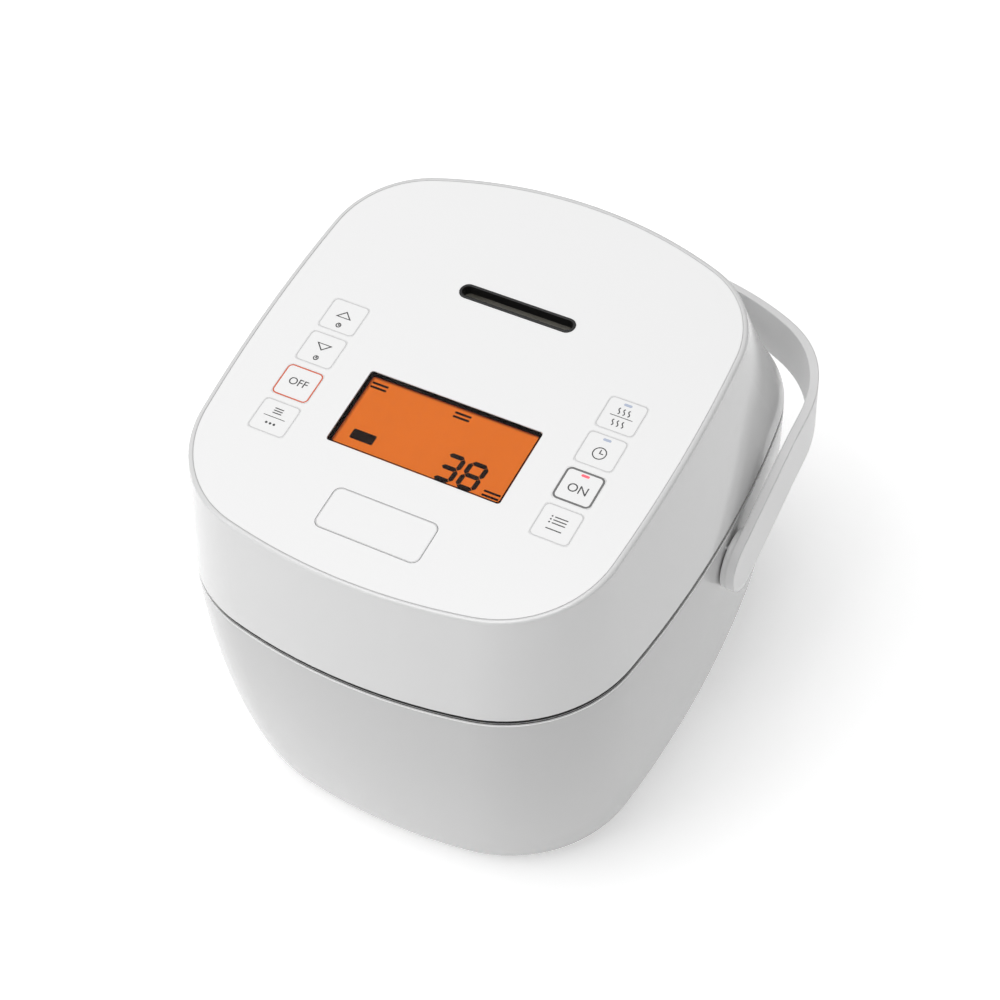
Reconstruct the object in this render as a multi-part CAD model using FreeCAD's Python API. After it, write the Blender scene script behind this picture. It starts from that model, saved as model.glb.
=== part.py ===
# Free-standing pressure induction rice cooker, 1.0 litre class, lid closed and carry handle folded back.
# Millimetres. +X is the cooker's right, +Y its back, +Z up. The origin is under the middle of the whole
# object, handle included, on the surface that it stands on.
import FreeCAD, Part
import math
import os
from collections import namedtuple

V = FreeCAD.Vector
X_AXIS = V(1, 0, 0)
Y_AXIS = V(0, 1, 0)
Z_AXIS = V(0, 0, 1)

# Overall sizes
BODY_WIDTH = 228.8
BODY_DEPTH = 287.0
SHELL_TOP = 131.5
HANDLE_REACH = 20.5
PANEL_RISE = 75.0
PANEL_TILT = 8.42
WALL = 2.5
FIT = 0.25
RUNNING = 0.05
FIXED_GAP = 0.1
THROUGH = 1.0

HALF_WIDTH = BODY_WIDTH / 2
Y_FRONT = -(BODY_DEPTH + HANDLE_REACH) / 2
Y_BACK = Y_FRONT + BODY_DEPTH

# Plan outline shared by the lid's foot and the body's top edge: eight tangent arcs
Outline = namedtuple(
    "Outline",
    "half_width front back side_bow front_bow back_bow front_corner back_corner middle",
)
WIDEST_AHEAD_OF_MIDDLE = 10.45
WIDEST_Y = (Y_FRONT + Y_BACK) / 2 - WIDEST_AHEAD_OF_MIDDLE
SEAM = Outline(HALF_WIDTH, Y_FRONT, Y_BACK, 588.0, 268.0, 334.0, 65.8, 64.4, WIDEST_Y)

# Body shell: how far it draws in at its foot, and the curve that it follows
FOOT_DRAW_SIDE = 14.0
FOOT_DRAW_FRONT = 20.0
FOOT_DRAW_BACK = 19.0
PROFILE_SHOULDER = 0.58
PROFILE_UNDERCUT = 0.23
SHELL_BOTTOM = 1.5
SHELL_EDGE_ROUND = 1.6
FLOOR = 2.5
FLOOR_TOP = SHELL_BOTTOM + FLOOR

# Pot, well and what sits under them, all round the pot's axis
POT_Y = Y_FRONT + 125.45
POT_RADIUS = 93.0
POT_WALL = 2.8
POT_DEPTH = 100.3
POT_CORNER = 38.0
POT_FLANGE = 2.5
POT_FLANGE_RADIUS = POT_RADIUS + 8.0
POT_TO_WELL = 1.1
WELL_WALL = 2.2
WELL_FLANGE = 2.5

# Body rim, the inset band under the lid, with the ledge that carries the pot
RIM_TOP = SHELL_TOP + 2.0
RIM_UNDERSIDE = SHELL_TOP - 2.5
RIM_INSET = 1.6
RIM_REAR_STEP_Y = Y_BACK - 21.25
POT_RECESS_RADIUS = POT_FLANGE_RADIUS + 1.5
LEDGE_RADIUS = POT_RADIUS + 4.0
LEDGE_TOP = SHELL_TOP - 2.7
LEDGE_THICKNESS = 2.5
LEDGE_BOTTOM = LEDGE_TOP - LEDGE_THICKNESS
SKIRT_THICKNESS = 2.0
SKIRT_RADIUS = POT_RECESS_RADIUS + SKIRT_THICKNESS
RIM_SCREW_RING = POT_RADIUS + 7.8
RIM_SCREW_COUNT = 4
RIM_SCREW_START_ANGLE = 45.0
RIM_SCREW_LENGTH = 4.0

POT_BOTTOM = LEDGE_TOP + POT_FLANGE - POT_DEPTH
WELL_RADIUS = POT_RADIUS + POT_TO_WELL + WELL_WALL
WELL_CORNER = POT_CORNER + POT_TO_WELL + WELL_WALL
WELL_BOTTOM = POT_BOTTOM - POT_TO_WELL - WELL_WALL

# Induction coil, its holder and the side heater
COIL_INNER = 25.0
COIL_OUTER = POT_RADIUS - 21.0
COIL_THICKNESS = 6.5
COIL_TO_WELL = 0.2
COIL_TOP = WELL_BOTTOM - COIL_TO_WELL
HOLDER_TOP = COIL_TOP - COIL_THICKNESS
HOLDER_THICKNESS = 4.0
HOLDER_BOTTOM = HOLDER_TOP - HOLDER_THICKNESS
HOLDER_OUTER = COIL_OUTER + 11.0
HOLDER_POST_RADIUS = 4.0
HOLDER_POST_RING = COIL_OUTER + 5.0
HOLDER_POST_ANGLES = (30, 150, 270)
FERRITE_COUNT = 6
FERRITE_WIDTH = 8.0
FERRITE_THICKNESS = 4.5
FERRITE_START = COIL_INNER + 3.0
FERRITE_END = COIL_OUTER - 2.0
BAND_THICKNESS = 2.0
BAND_TOP = LEDGE_BOTTOM - 14.3
BAND_BOTTOM = BAND_TOP - 50.0

# Centre temperature sensor
SENSOR_RADIUS = 11.0
SENSOR_CAP = 2.0
SENSOR_STEM = 4.0
SENSOR_SLIDE_GAP = 0.4
SENSOR_POT_GAP = 0.3
SENSOR_TOP = POT_BOTTOM - SENSOR_POT_GAP
SENSOR_HOLDER_WALL = 1.6
SENSOR_HOLDER_FLOOR = 2.0
SENSOR_HOLDER_BOTTOM = WELL_BOTTOM - 18.7
SENSOR_HOLDER_FLANGE = 4.0
SENSOR_HOLDER_FLANGE_THICKNESS = 2.4
SENSOR_STEM_OUT = 1.0
SENSOR_SPRING_WALL = 1.4
SENSOR_SPRING_GAP = 0.6
SENSOR_BORE = SENSOR_RADIUS + SENSOR_SLIDE_GAP
SENSOR_HOLDER_RADIUS = SENSOR_BORE + SENSOR_HOLDER_WALL
SENSOR_FLOOR_TOP = SENSOR_HOLDER_BOTTOM + SENSOR_HOLDER_FLOOR
HOLDER_INNER = SENSOR_HOLDER_RADIUS + 2.0

# Base cover, feet and base screws
COVER_INSET = 12.0
COVER_LIP = 5.0
COVER_LIP_THICKNESS = 1.25
LIP_TOP = SHELL_BOTTOM + COVER_LIP_THICKNESS
FOOT_RADIUS = 8.0
FOOT_STUB = 3.0
FOOT_X = HALF_WIDTH - 52.4
FOOT_FRONT_Y = Y_FRONT + 53.75
FOOT_BACK_Y = Y_BACK - 53.25
BASE_BOSS_RADIUS = 4.0
BASE_BOSS_HEIGHT = 12.0
BASE_SCREW_X = 50.0
BASE_SCREW_FROM_EDGE = COVER_INSET - COVER_LIP / 2
BASE_SCREW_LENGTH = 9.0
BASE_HOLE_DEPTH = BASE_SCREW_LENGTH + 1.0
SLOT_COUNT = 6
SLOT_WIDTH = 3.2
SLOT_PITCH = 5.6
FAN_SLOT_LENGTH = 26.0
COIL_SLOT_LENGTH = 72.0

# Fan
FAN_X = 38.0
FAN_Y = WIDEST_Y + 86.7
FAN_SIZE = 40.0
FAN_THICKNESS = 12.0
FAN_TOP = FLOOR_TOP + FAN_THICKNESS
FAN_BORE = 18.5
FAN_TIP_GAP = 0.9
FAN_HUB = 8.0
FAN_BLADES = 7
FAN_BLADE_PITCH = 38.0
FAN_BLADE_CHORD = 8.0
FAN_BLADE_THICKNESS = 1.2
FAN_SHAFT = 1.5
FAN_END_GAP = 0.5
FAN_STRUT = 3.0
FAN_PLATE = 2.0

# Power board, standing on the base cover behind the well
BOARD_Y = WIDEST_Y + 112.7
BOARD_LEFT = -72.0
BOARD_RIGHT = 28.0
BOARD_HEIGHT = 94.0
BOARD_THICKNESS = 1.6
BOARD_BACK_Y = BOARD_Y + BOARD_THICKNESS
BOARD_RAIL = 1.6
BOARD_RAIL_LEFT = BOARD_LEFT + 28.0
BOARD_RAIL_HEIGHT = 5.0
SINK_LEFT = -10.0
SINK_WIDTH = 36.0
SINK_BOTTOM = 34.0
SINK_HEIGHT = 46.0
SINK_BASE = 3.0
SINK_DEPTH = 16.0
SINK_FINS = 6
SINK_FIN = 1.5
CAPACITOR_RADIUS = 8.0
CAPACITOR_LENGTH = 18.0
CAPACITOR_X = (-2.0, 18.0)
CAPACITOR_Z = 60.0
CHOKE_X = -52.0
CHOKE_Z = 40.0
CHOKE_SIZE = 20.0
CHOKE_DEPTH = 16.0

# Power inlet in the back wall
INLET_X = -34.0
INLET_Z = 47.0
INLET_WIDTH = 34.0
INLET_HEIGHT = 26.0
INLET_WALL = 3.0
INLET_DEPTH = 24.0
INLET_POCKET = 19.0
INLET_REAR_Y = Y_BACK - 6.75
INLET_FLOOR_Y = INLET_REAR_Y - INLET_POCKET
INLET_PIN_RADIUS = 2.0
INLET_PIN_LENGTH = 14.0
INLET_PIN_SPREAD = 14.0

# Carry handle
ARM_GAP = 3.1
HANDLE_THICKNESS = 4.5
HANDLE_HALF_WIDTH = HALF_WIDTH + ARM_GAP + HANDLE_THICKNESS
HANDLE_BACK = Y_BACK + HANDLE_REACH
HANDLE_SIDE_BOW = 6000.0
HANDLE_REAR_BOW = 172.0
HANDLE_CORNER = 68.0
HANDLE_FRONT_RUN = 60.0
HANDLE_FRONT_BOW = 300.0
HANDLE_FRONT_CORNER = 60.0
ARM_END_Y = WIDEST_Y + 27.4
ARM_END_Z = SHELL_TOP - 20.5
ARM_END_RADIUS = 15.0
HANDLE_WIDEST_Y = ARM_END_Y + 23.3
PIVOT_Y = ARM_END_Y - 5.1
PIVOT_Z = ARM_END_Z + 9.8
ARM_SLOPE = 20.0
ARM_STRAIGHT = 43.0
HANDLE_TOP_ARCH = 10.2
HANDLE_BOTTOM_ARCH = 8.7
HANDLE_REAR_TOP_Z = ARM_END_Z + 28.5
HANDLE_REAR_BOTTOM_Z = ARM_END_Z + 3.0
PIVOT_PIN_RADIUS = 2.5
PIVOT_PIN_HEAD = 5.5
PIVOT_PIN_HEAD_THICKNESS = 2.5
PIVOT_PIN_WALL_GAP = 1.7
PIVOT_PIN_END_GAP = 0.5
PIVOT_BORE_FLOOR = 1.0
ARM_PAD_RADIUS = ARM_END_RADIUS - 0.3
ARM_PAD_GAP = 0.5
HANDLE = Outline(
    HANDLE_HALF_WIDTH, Y_FRONT - HANDLE_FRONT_RUN, HANDLE_BACK,
    HANDLE_SIDE_BOW, HANDLE_FRONT_BOW, HANDLE_REAR_BOW,
    HANDLE_FRONT_CORNER, HANDLE_CORNER, HANDLE_WIDEST_Y,
)

# Lid shell and the tilted top panel
LID_BOTTOM = SHELL_TOP + 3.0
LID_FLARE_HEIGHT = 20.0
LID_FLARE_SIDE = 1.9
LID_FLARE_FRONT = 2.4
LID_FLARE_BACK = 17.0
LID_FLARE_FRONT_CORNER = 62.0
LID_FLARE_BACK_CORNER = 59.0
LID_EDGE_ROUND = 1.8
LID_REAR_FLAT_Y = Y_BACK - 3.25
PANEL_Y = POT_Y
PANEL_HEIGHT = LID_BOTTOM + PANEL_RISE
PANEL_FRAME = FreeCAD.Placement(V(0, PANEL_Y, PANEL_HEIGHT), FreeCAD.Rotation(X_AXIS, PANEL_TILT))
PANEL_RUN = math.cos(math.radians(PANEL_TILT))
PANEL_DRAW_SIDE = 9.4
PANEL_DRAW_FRONT = 9.3
PANEL_DRAW_BACK = 53.0
PANEL_HALF = HALF_WIDTH - PANEL_DRAW_SIDE
PANEL_FRONT_Y = Y_FRONT + PANEL_DRAW_FRONT
PANEL_BACK_Y = Y_BACK - PANEL_DRAW_BACK
PANEL = Outline(
    PANEL_HALF, (PANEL_FRONT_Y - PANEL_Y) / PANEL_RUN, (PANEL_BACK_Y - PANEL_Y) / PANEL_RUN,
    764.0, 287.0, 212.0, 53.2, 46.7, 1.4,
)
PANEL_RIM = 2.4
PANEL_THICKNESS = 2.5
PANEL_UNDERSIDE = -PANEL_THICKNESS
LEDGE_WIDTH = 9.0
LEDGE_DEPTH = 2.0
LID_POST_RADIUS = 3.5
LID_POSTS = (
    (PANEL_HALF - 8.0, PANEL_FRONT_Y + 52.4),
    (PANEL_HALF - 7.0, PANEL_Y + 34.3),
    (PANEL_HALF - 17.0, PANEL_BACK_Y - 28.3),
)
LID_SCREW_LENGTH = 9.0

# Lid base and the pieces under it
LID_BASE_BOTTOM = LID_BOTTOM + 2.5
LID_BASE_THICKNESS = 2.5
LID_BASE_TOP = LID_BASE_BOTTOM + LID_BASE_THICKNESS
HEATER_RADIUS = POT_RADIUS - 5.0
HEATER_THICKNESS = 1.5
INNER_LID_RADIUS = POT_RADIUS + 2.0
INNER_LID_THICKNESS = 1.6
INNER_LID_GAP = 0.2
INNER_LID_TOP = LID_BASE_BOTTOM - HEATER_THICKNESS - INNER_LID_GAP
INNER_LID_BOTTOM = INNER_LID_TOP - INNER_LID_THICKNESS
STEAM_HOLE_RADIUS = 2.0
STEAM_HOLE_X = (-20.0, -10.0, 0.0, 10.0, 20.0)
GASKET_OUTER = POT_RADIUS + 6.0
GASKET_LIP = POT_RADIUS - 2.0
GASKET_TO_POT = 0.4
GASKET_BOTTOM = LEDGE_TOP + POT_FLANGE + GASKET_TO_POT

# Lid hinge
HINGE_Y = Y_BACK - 8.75
HINGE_Z = SHELL_TOP + 10.0
HINGE_PIN_RADIUS = 2.0
HINGE_PIN_OVERHANG = 1.0
HINGE_EYE = 5.0
HINGE_ARM_X = 37.5
HINGE_ARM_THICKNESS = 6.0
HINGE_ARM_REACH = 46.0
HINGE_BRACKET_X = HINGE_ARM_X + HINGE_ARM_THICKNESS + 1.5
HINGE_BRACKET_THICKNESS = 7.0
HINGE_BRACKET_END = HINGE_BRACKET_X + HINGE_BRACKET_THICKNESS
HINGE_COVER_HALF = HINGE_ARM_X - 1.5
HINGE_COVER_RADIUS = 7.0
HINGE_COVER_WALL = 1.5
HINGE_BAY_HALF = HINGE_BRACKET_END + 2.0
HINGE_BAY_RADIUS = 8.0
BASE_BAY_HALF = HINGE_BAY_HALF + 2.0
BASE_BAY_Y = HINGE_Y - HINGE_BAY_RADIUS - 3.0
LID_SPRING_HALF = 18.0
LID_SPRING_WALL = 2.0
LID_SPRING_GAP = 0.2
LID_SPRING_LEG = 0.7
LID_SPRING_LEG_REACH = 15.0
LID_SPRING_LEG_DROP = 1.6

# Display, in the panel's own frame: across, up the slope, and out of the panel
WINDOW_WIDTH = 87.4
WINDOW_DEPTH = 41.6
WINDOW_Y = -35.4
WINDOW_CORNER = 1.5
LENS_TOP = -0.2
LENS_THICKNESS = 1.5
LENS_BOTTOM = LENS_TOP - LENS_THICKNESS
FRAME_WALL = 1.2
FRAME_FLANGE = 4.0
FRAME_FLANGE_THICKNESS = 1.5
FRAME_BOTTOM = -4.6
MODULE_MARGIN = 2.5

# Keys and control board
KEY_X = PANEL_HALF - 34.0
KEY_YS = (6.9, -13.6, -34.5, -55.3)
KEY_WIDTH = 18.6
KEY_DEPTH = 17.6
KEY_CORNER = 2.2
KEY_GAP = 0.3
KEY_FLANGE = 1.0
KEY_FLANGE_THICKNESS = 1.0
KEY_FLANGE_TOP = PANEL_UNDERSIDE - KEY_GAP
KEY_FLANGE_BOTTOM = KEY_FLANGE_TOP - KEY_FLANGE_THICKNESS
KEY_STEM_RADIUS = 2.0
KEY_TRAVEL = 0.5
SWITCH_CLEARANCE = 0.3
SWITCH_SIZE = 6.0
SWITCH_HEIGHT = 3.6
CONTROL_BOARD_TOP = -9.6
CONTROL_BOARD_BOTTOM = CONTROL_BOARD_TOP - BOARD_THICKNESS
CONTROL_BOARD_HALF = KEY_X + 17.0
CONTROL_BOARD_FRONT = KEY_YS[-1] - 13.7
CONTROL_BOARD_BACK = KEY_YS[0] + 20.1
PANEL_BOSS_RADIUS = 2.5
PANEL_BOSSES = (
    (KEY_X + 13.5, CONTROL_BOARD_BACK - 5.0),
    (KEY_X + 13.5, CONTROL_BOARD_FRONT + 3.0),
    (KEY_X - KEY_WIDTH / 2 - 7.7, WINDOW_Y),
)
BOARD_SCREW_RADIUS = 1.2
BOARD_SCREW_HEAD = 2.2
BOARD_SCREW_HEAD_THICKNESS = 1.2
BOARD_SCREW_TOP = PANEL_UNDERSIDE - 1.5
BOARD_SCREW_HOLE_TOP = PANEL_UNDERSIDE - 1.0

# Release button and latch
BUTTON_WIDTH = 51.6
BUTTON_DEPTH = 21.8
BUTTON_Y = PANEL.front + 30.4
BUTTON_CORNER = 3.6
BUTTON_TOP = 2.0
BUTTON_SKIRT = 1.5
BUTTON_SKIRT_DEPTH = 7.0
BUTTON_STEM_LENGTH = 14.0
BUTTON_STEM_WIDTH = 12.0
BUTTON_STEM_DEPTH = 3.0
LATCH_Y = Y_FRONT + 16.25
LATCH_Z = LID_BOTTOM + 28.5
LATCH_PIN_RADIUS = 1.5
LATCH_EYE = 4.5
LATCH_HALF = 6.5
LATCH_PAD_GAP = 0.5
LATCH_PAD_HALF = 3.5
LATCH_ARM = 4.0
LATCH_SHANK_FRONT = LATCH_Y - 6.5
LATCH_SHANK_BACK = LATCH_Y - 2.3
LATCH_NOSE_Y = LATCH_Y + 2.3
CATCH_EDGE = LATCH_Y - 0.2
CATCH_DEPTH = 4.8
CATCH_HALF = 14.0
CATCH_THICKNESS = 2.0
NOSE_GAP = 0.4
NOSE_HEIGHT = 3.6
NOSE_TOP = RIM_UNDERSIDE - CATCH_THICKNESS - NOSE_GAP
LATCH_POST_X = LATCH_HALF + 3.5
LATCH_POST_THICKNESS = 3.0
LATCH_POST_HALF_DEPTH = 5.0
LATCH_PIN_HALF = LATCH_POST_X + LATCH_POST_THICKNESS + 1.0
LATCH_SPRING_RADIUS = 3.0
LATCH_SPRING_GAP = 0.2
LATCH_SLOT_HALF = LATCH_HALF + 2.5
LATCH_SLOT_FRONT = LATCH_Y - 11.5
LATCH_SLOT_BACK = LATCH_NOSE_Y + 1.5

# Steam path and pressure valve
VENT_Y = 42.9
VENT_HALF = 25.4
VENT_RADIUS = 4.0
VENT_SLOT_RADIUS = 2.9
VENT_PROUD = 0.3
VENT_FLANGE = 1.4
VENT_COLLAR_DEPTH = 5.0
DUCT_Y = PANEL_FRAME.multVec(V(0, VENT_Y, 0)).y
DUCT_HALF = VENT_HALF - 1.4
DUCT_RADIUS = 7.0
DUCT_WALL = 2.0
DUCT_BORE = DUCT_RADIUS - DUCT_WALL
SOLENOID_X = -52.0
SOLENOID_Y = DUCT_Y + 29.9
SOLENOID_LENGTH = 28.0
SOLENOID_SIZE = 20.0
SOLENOID_FACE = SOLENOID_X + SOLENOID_LENGTH / 2
PLUNGER_RADIUS = 3.0
PLUNGER_OUT = 9.0
PLUNGER_IN = 14.0
PLUNGER_TRAVEL = 3.0
PLUNGER_END_GAP = 1.0
PLUNGER_SEAT_GAP = 0.4
PLUNGER_Z = LID_BASE_TOP + SOLENOID_SIZE / 2
VALVE_X = SOLENOID_FACE + 6.0
VALVE_LENGTH = 20.0

# Screws
SCREW_RADIUS = 1.5
SCREW_HEAD = 3.0
SCREW_HEAD_THICKNESS = 1.0


# Basic shapes
def box(x0, x1, y0, y1, z0, z1):
    return Part.makeBox(x1 - x0, y1 - y0, z1 - z0, V(x0, y0, z0))


def rod(radius, start, end):
    path = end - start
    return Part.makeCylinder(radius, path.Length, start, path)


def fuse(*shapes):
    return shapes[0].multiFuse(list(shapes[1:])).removeSplitter()


def mirrored(shape):
    return shape.mirror(V(0, 0, 0), X_AXIS)


def both_sides(shape):
    return Part.makeCompound([shape, mirrored(shape)])


def on_panel(shape):
    placed = shape.copy()
    placed.Placement = PANEL_FRAME.multiply(placed.Placement)
    return placed


def prism(points, direction):
    loop = Part.makePolygon(points + [points[0]])
    return Part.Face(loop).extrude(direction)


def side_prism(points, x0, x1):
    """A flat shape drawn in the Y-Z plane, given thickness from x0 to x1."""
    return prism([V(x0, y, z) for y, z in points], V(x1 - x0, 0, 0))


def spun(profile):
    """A profile of (radius, height) points turned round the pot's axis."""
    points = [V(r, POT_Y, z) for r, z in profile]
    face = Part.Face(Part.makePolygon(points + [points[0]]))
    return face.revolve(V(0, POT_Y, 0), Z_AXIS, 360)


def ring(inner, outer, z0, z1):
    return spun([(inner, z0), (outer, z0), (outer, z1), (inner, z1)])


def disc(radius, z0, z1):
    return rod(radius, V(0, POT_Y, z0), V(0, POT_Y, z1))


def around_pot(radius, angle, z):
    turn = math.radians(angle)
    return V(radius * math.cos(turn), POT_Y + radius * math.sin(turn), z)


def rounded_block(width, depth, corner, x, y, z0, z1):
    block = box(x - width / 2, x + width / 2, y - depth / 2, y + depth / 2, z0, z1)
    uprights = [e for e in block.Edges if abs(e.tangentAt(e.FirstParameter).z) > 0.9]
    return block.makeFillet(corner, uprights)


def stadium(half, radius, y, z0, z1):
    ends = [rod(radius, V(side * half, y, z0), V(side * half, y, z1)) for side in (-1, 1)]
    return fuse(box(-half, half, y - radius, y + radius, z0, z1), *ends)


def screw_hole(start, direction, length):
    return rod(SCREW_RADIUS + RUNNING, start, start + direction * length)


def screw(start, direction, length):
    """A pan-head screw: start is under the head, direction is the way it goes in."""
    head = rod(SCREW_HEAD, start - direction * SCREW_HEAD_THICKNESS, start)
    return fuse(head, rod(SCREW_RADIUS, start, start + direction * length))


# The eight-arc outline
def circles_meet(c1, r1, c2, r2):
    """The outer right-hand point where two circles cross."""
    span = c2 - c1
    along = (r1 ** 2 - r2 ** 2 + span.Length ** 2) / (2 * span.Length)
    across = math.sqrt(r1 ** 2 - along ** 2)
    unit = span / span.Length
    square = V(-unit.y, unit.x, 0)
    middle = c1 + unit * along
    return max(middle + square * across, middle - square * across, key=lambda p: p.x)


def point_on(centre, radius, angle):
    return centre + V(math.cos(angle), math.sin(angle), 0) * radius


def arc_poles(centre, radius, start, end):
    """Four poles of the cubic curve that follows an arc of under a half circle."""
    reach = 4 / 3 * math.tan((end - start) / 4) * radius
    first = point_on(centre, radius, start)
    last = point_on(centre, radius, end)
    leave = V(-math.sin(start), math.cos(start), 0)
    arrive = V(-math.sin(end), math.cos(end), 0)
    return [first, first + leave * reach, last - arrive * reach, last]


def outline_poles(o, z):
    front = V(0, o.front + o.front_bow, z)
    back = V(0, o.back - o.back_bow, z)
    side = V(o.half_width - o.side_bow, o.middle, z)
    near = circles_meet(front, o.front_bow - o.front_corner, side, o.side_bow - o.front_corner)
    far = circles_meet(back, o.back_bow - o.back_corner, side, o.side_bow - o.back_corner)

    def heading(tip, root):
        return math.atan2(tip.y - root.y, tip.x - root.x)

    def flip(centre):
        return V(-centre.x, centre.y, z)

    a1, a2 = heading(near, front), heading(near, side)
    a3, a4 = heading(far, side), heading(far, back)
    return [
        arc_poles(front, o.front_bow, -math.pi - a1, a1),
        arc_poles(near, o.front_corner, a1, a2),
        arc_poles(side, o.side_bow, a2, a3),
        arc_poles(far, o.back_corner, a3, a4),
        arc_poles(back, o.back_bow, a4, math.pi - a4),
        arc_poles(flip(far), o.back_corner, math.pi - a4, math.pi - a3),
        arc_poles(flip(side), o.side_bow, math.pi - a3, math.pi - a2),
        arc_poles(flip(near), o.front_corner, math.pi - a2, math.pi - a1),
    ]


def poles_wire(row):
    edges = []
    for poles in row:
        curve = Part.BezierCurve()
        curve.setPoles(poles)
        edges.append(curve.toShape())
    return Part.Wire(edges)


def patch(rows, span):
    surface = Part.BezierSurface()
    surface.increase(len(rows) - 1, 3)
    for i, row in enumerate(rows):
        for j, pole in enumerate(row[span]):
            surface.setPole(i + 1, j + 1, pole)
    return surface.toShape()


def skin(*bands):
    """A closed solid whose wall is smooth bands, each led by rows of outlines, with flat ends."""
    faces = [patch(rows, span) for rows in bands for span in range(8)]
    faces.append(Part.Face(poles_wire(bands[0][0])))
    faces.append(Part.Face(poles_wire(bands[-1][-1])))
    shell = Part.makeShell(faces)
    shell.sewShape()
    solid = Part.makeSolid(shell)
    if solid.Volume < 0:
        solid.reverse()
    return solid


def inset(o, d):
    """The outline moved in by d all round."""
    radii = [r - d for r in o[3:8]]
    return Outline(o.half_width - d, o.front + d, o.back - d, *radii, o.middle)


def drawn_in(o, side, front, back):
    """The outline with its sides, front and back moved in by different amounts."""
    return o._replace(half_width=o.half_width - side, front=o.front + front, back=o.back - back)


def plate(o, z0, z1):
    return Part.Face(poles_wire(outline_poles(o, z0))).extrude(V(0, 0, z1 - z0))


# Body shell
FOOT_OUTLINE = drawn_in(SEAM, FOOT_DRAW_SIDE, FOOT_DRAW_FRONT, FOOT_DRAW_BACK)
COVER_OUTLINE = inset(FOOT_OUTLINE, COVER_INSET)
LIP_OUTLINE = inset(FOOT_OUTLINE, COVER_INSET - COVER_LIP)


def body_row(draw, z, wall):
    """The body's outline where it has drawn in by a share of its foot's draw, wall thickness taken off."""
    outline = drawn_in(SEAM, FOOT_DRAW_SIDE * draw, FOOT_DRAW_FRONT * draw, FOOT_DRAW_BACK * draw)
    return outline_poles(inset(outline, wall), z)


def body_side(top, bottom, wall):
    shoulder = top - PROFILE_SHOULDER * (top - bottom)
    undercut = 1 - PROFILE_UNDERCUT
    return [
        body_row(0, top, wall),
        body_row(0, shoulder, wall),
        body_row(undercut, bottom, wall),
        body_row(1, bottom, wall),
    ]


def body_outside():
    start = SHELL_TOP - SHELL_EDGE_ROUND
    edge = [
        body_row(0, SHELL_TOP, SHELL_EDGE_ROUND),
        body_row(0, SHELL_TOP, 0),
        body_row(0, start, 0),
    ]
    return skin(edge, body_side(start, SHELL_BOTTOM, 0))


def body_inside():
    start = SHELL_TOP - SHELL_EDGE_ROUND
    neck = [body_row(0, SHELL_TOP + THROUGH, WALL), body_row(0, start, WALL)]
    return skin(neck, body_side(start, FLOOR_TOP, WALL))


def base_screw_points():
    line = inset(FOOT_OUTLINE, BASE_SCREW_FROM_EDGE)
    front = line.front + line.front_bow - math.sqrt(line.front_bow ** 2 - BASE_SCREW_X ** 2)
    back = line.back - line.back_bow + math.sqrt(line.back_bow ** 2 - BASE_SCREW_X ** 2)
    return [V(side * BASE_SCREW_X, y, SHELL_BOTTOM) for side in (-1, 1) for y in (front, back)]


def pivot_hole(side):
    centre = V(0, PIVOT_Y, PIVOT_Z)
    return rod(PIVOT_PIN_RADIUS + RUNNING, centre, centre + X_AXIS * side * BODY_WIDTH)


def inlet_block(grow, y0, y1):
    half_x = INLET_WIDTH / 2 + grow
    half_z = INLET_HEIGHT / 2 + grow
    return box(INLET_X - half_x, INLET_X + half_x, y0, y1, INLET_Z - half_z, INLET_Z + half_z)


def make_body_shell():
    shell = body_outside().cut(body_inside())
    bosses = []
    for p in base_screw_points():
        bosses.append(rod(BASE_BOSS_RADIUS, p + Z_AXIS * FLOOR / 2, p + Z_AXIS * BASE_BOSS_HEIGHT))
    shell = shell.fuse(bosses)
    cuts = [
        plate(COVER_OUTLINE, SHELL_BOTTOM - THROUGH, FLOOR_TOP + THROUGH),
        plate(LIP_OUTLINE, SHELL_BOTTOM - THROUGH, LIP_TOP),
        inlet_block(FIT, INLET_REAR_Y - INLET_DEPTH, Y_BACK + THROUGH),
        pivot_hole(1),
        pivot_hole(-1),
    ]
    cuts += [screw_hole(p, Z_AXIS, BASE_HOLE_DEPTH) for p in base_screw_points()]
    return shell.cut(cuts)


# Base cover, feet and base screws
def foot_points():
    return [V(side * FOOT_X, y, 0) for side in (-1, 1) for y in (FOOT_FRONT_Y, FOOT_BACK_Y)]


def air_slots(x, y, length):
    first = x - (SLOT_COUNT - 1) * SLOT_PITCH / 2 - SLOT_WIDTH / 2
    low = SHELL_BOTTOM - THROUGH
    high = FLOOR_TOP + THROUGH
    slots = []
    for i in range(SLOT_COUNT):
        left = first + i * SLOT_PITCH
        slots.append(box(left, left + SLOT_WIDTH, y - length / 2, y + length / 2, low, high))
    return slots


def make_base_cover():
    plug = plate(inset(COVER_OUTLINE, FIT), SHELL_BOTTOM, FLOOR_TOP)
    lip = plate(inset(LIP_OUTLINE, FIT), SHELL_BOTTOM, LIP_TOP)
    rail_top = FLOOR_TOP + BOARD_RAIL_HEIGHT
    rails = []
    for y in (BOARD_Y - FIT - BOARD_RAIL, BOARD_BACK_Y + FIT):
        rails.append(box(BOARD_RAIL_LEFT, BOARD_RIGHT, y, y + BOARD_RAIL, SHELL_BOTTOM, rail_top))
    cuts = [rod(FOOT_STUB + RUNNING, p, p + Z_AXIS * (FLOOR_TOP + THROUGH)) for p in foot_points()]
    cuts += [screw_hole(p, Z_AXIS, FLOOR) for p in base_screw_points()]
    cuts += air_slots(FAN_X, FAN_Y, FAN_SLOT_LENGTH)
    cuts += air_slots(0, POT_Y, COIL_SLOT_LENGTH)
    return fuse(plug, lip, *rails).cut(cuts)


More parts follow.
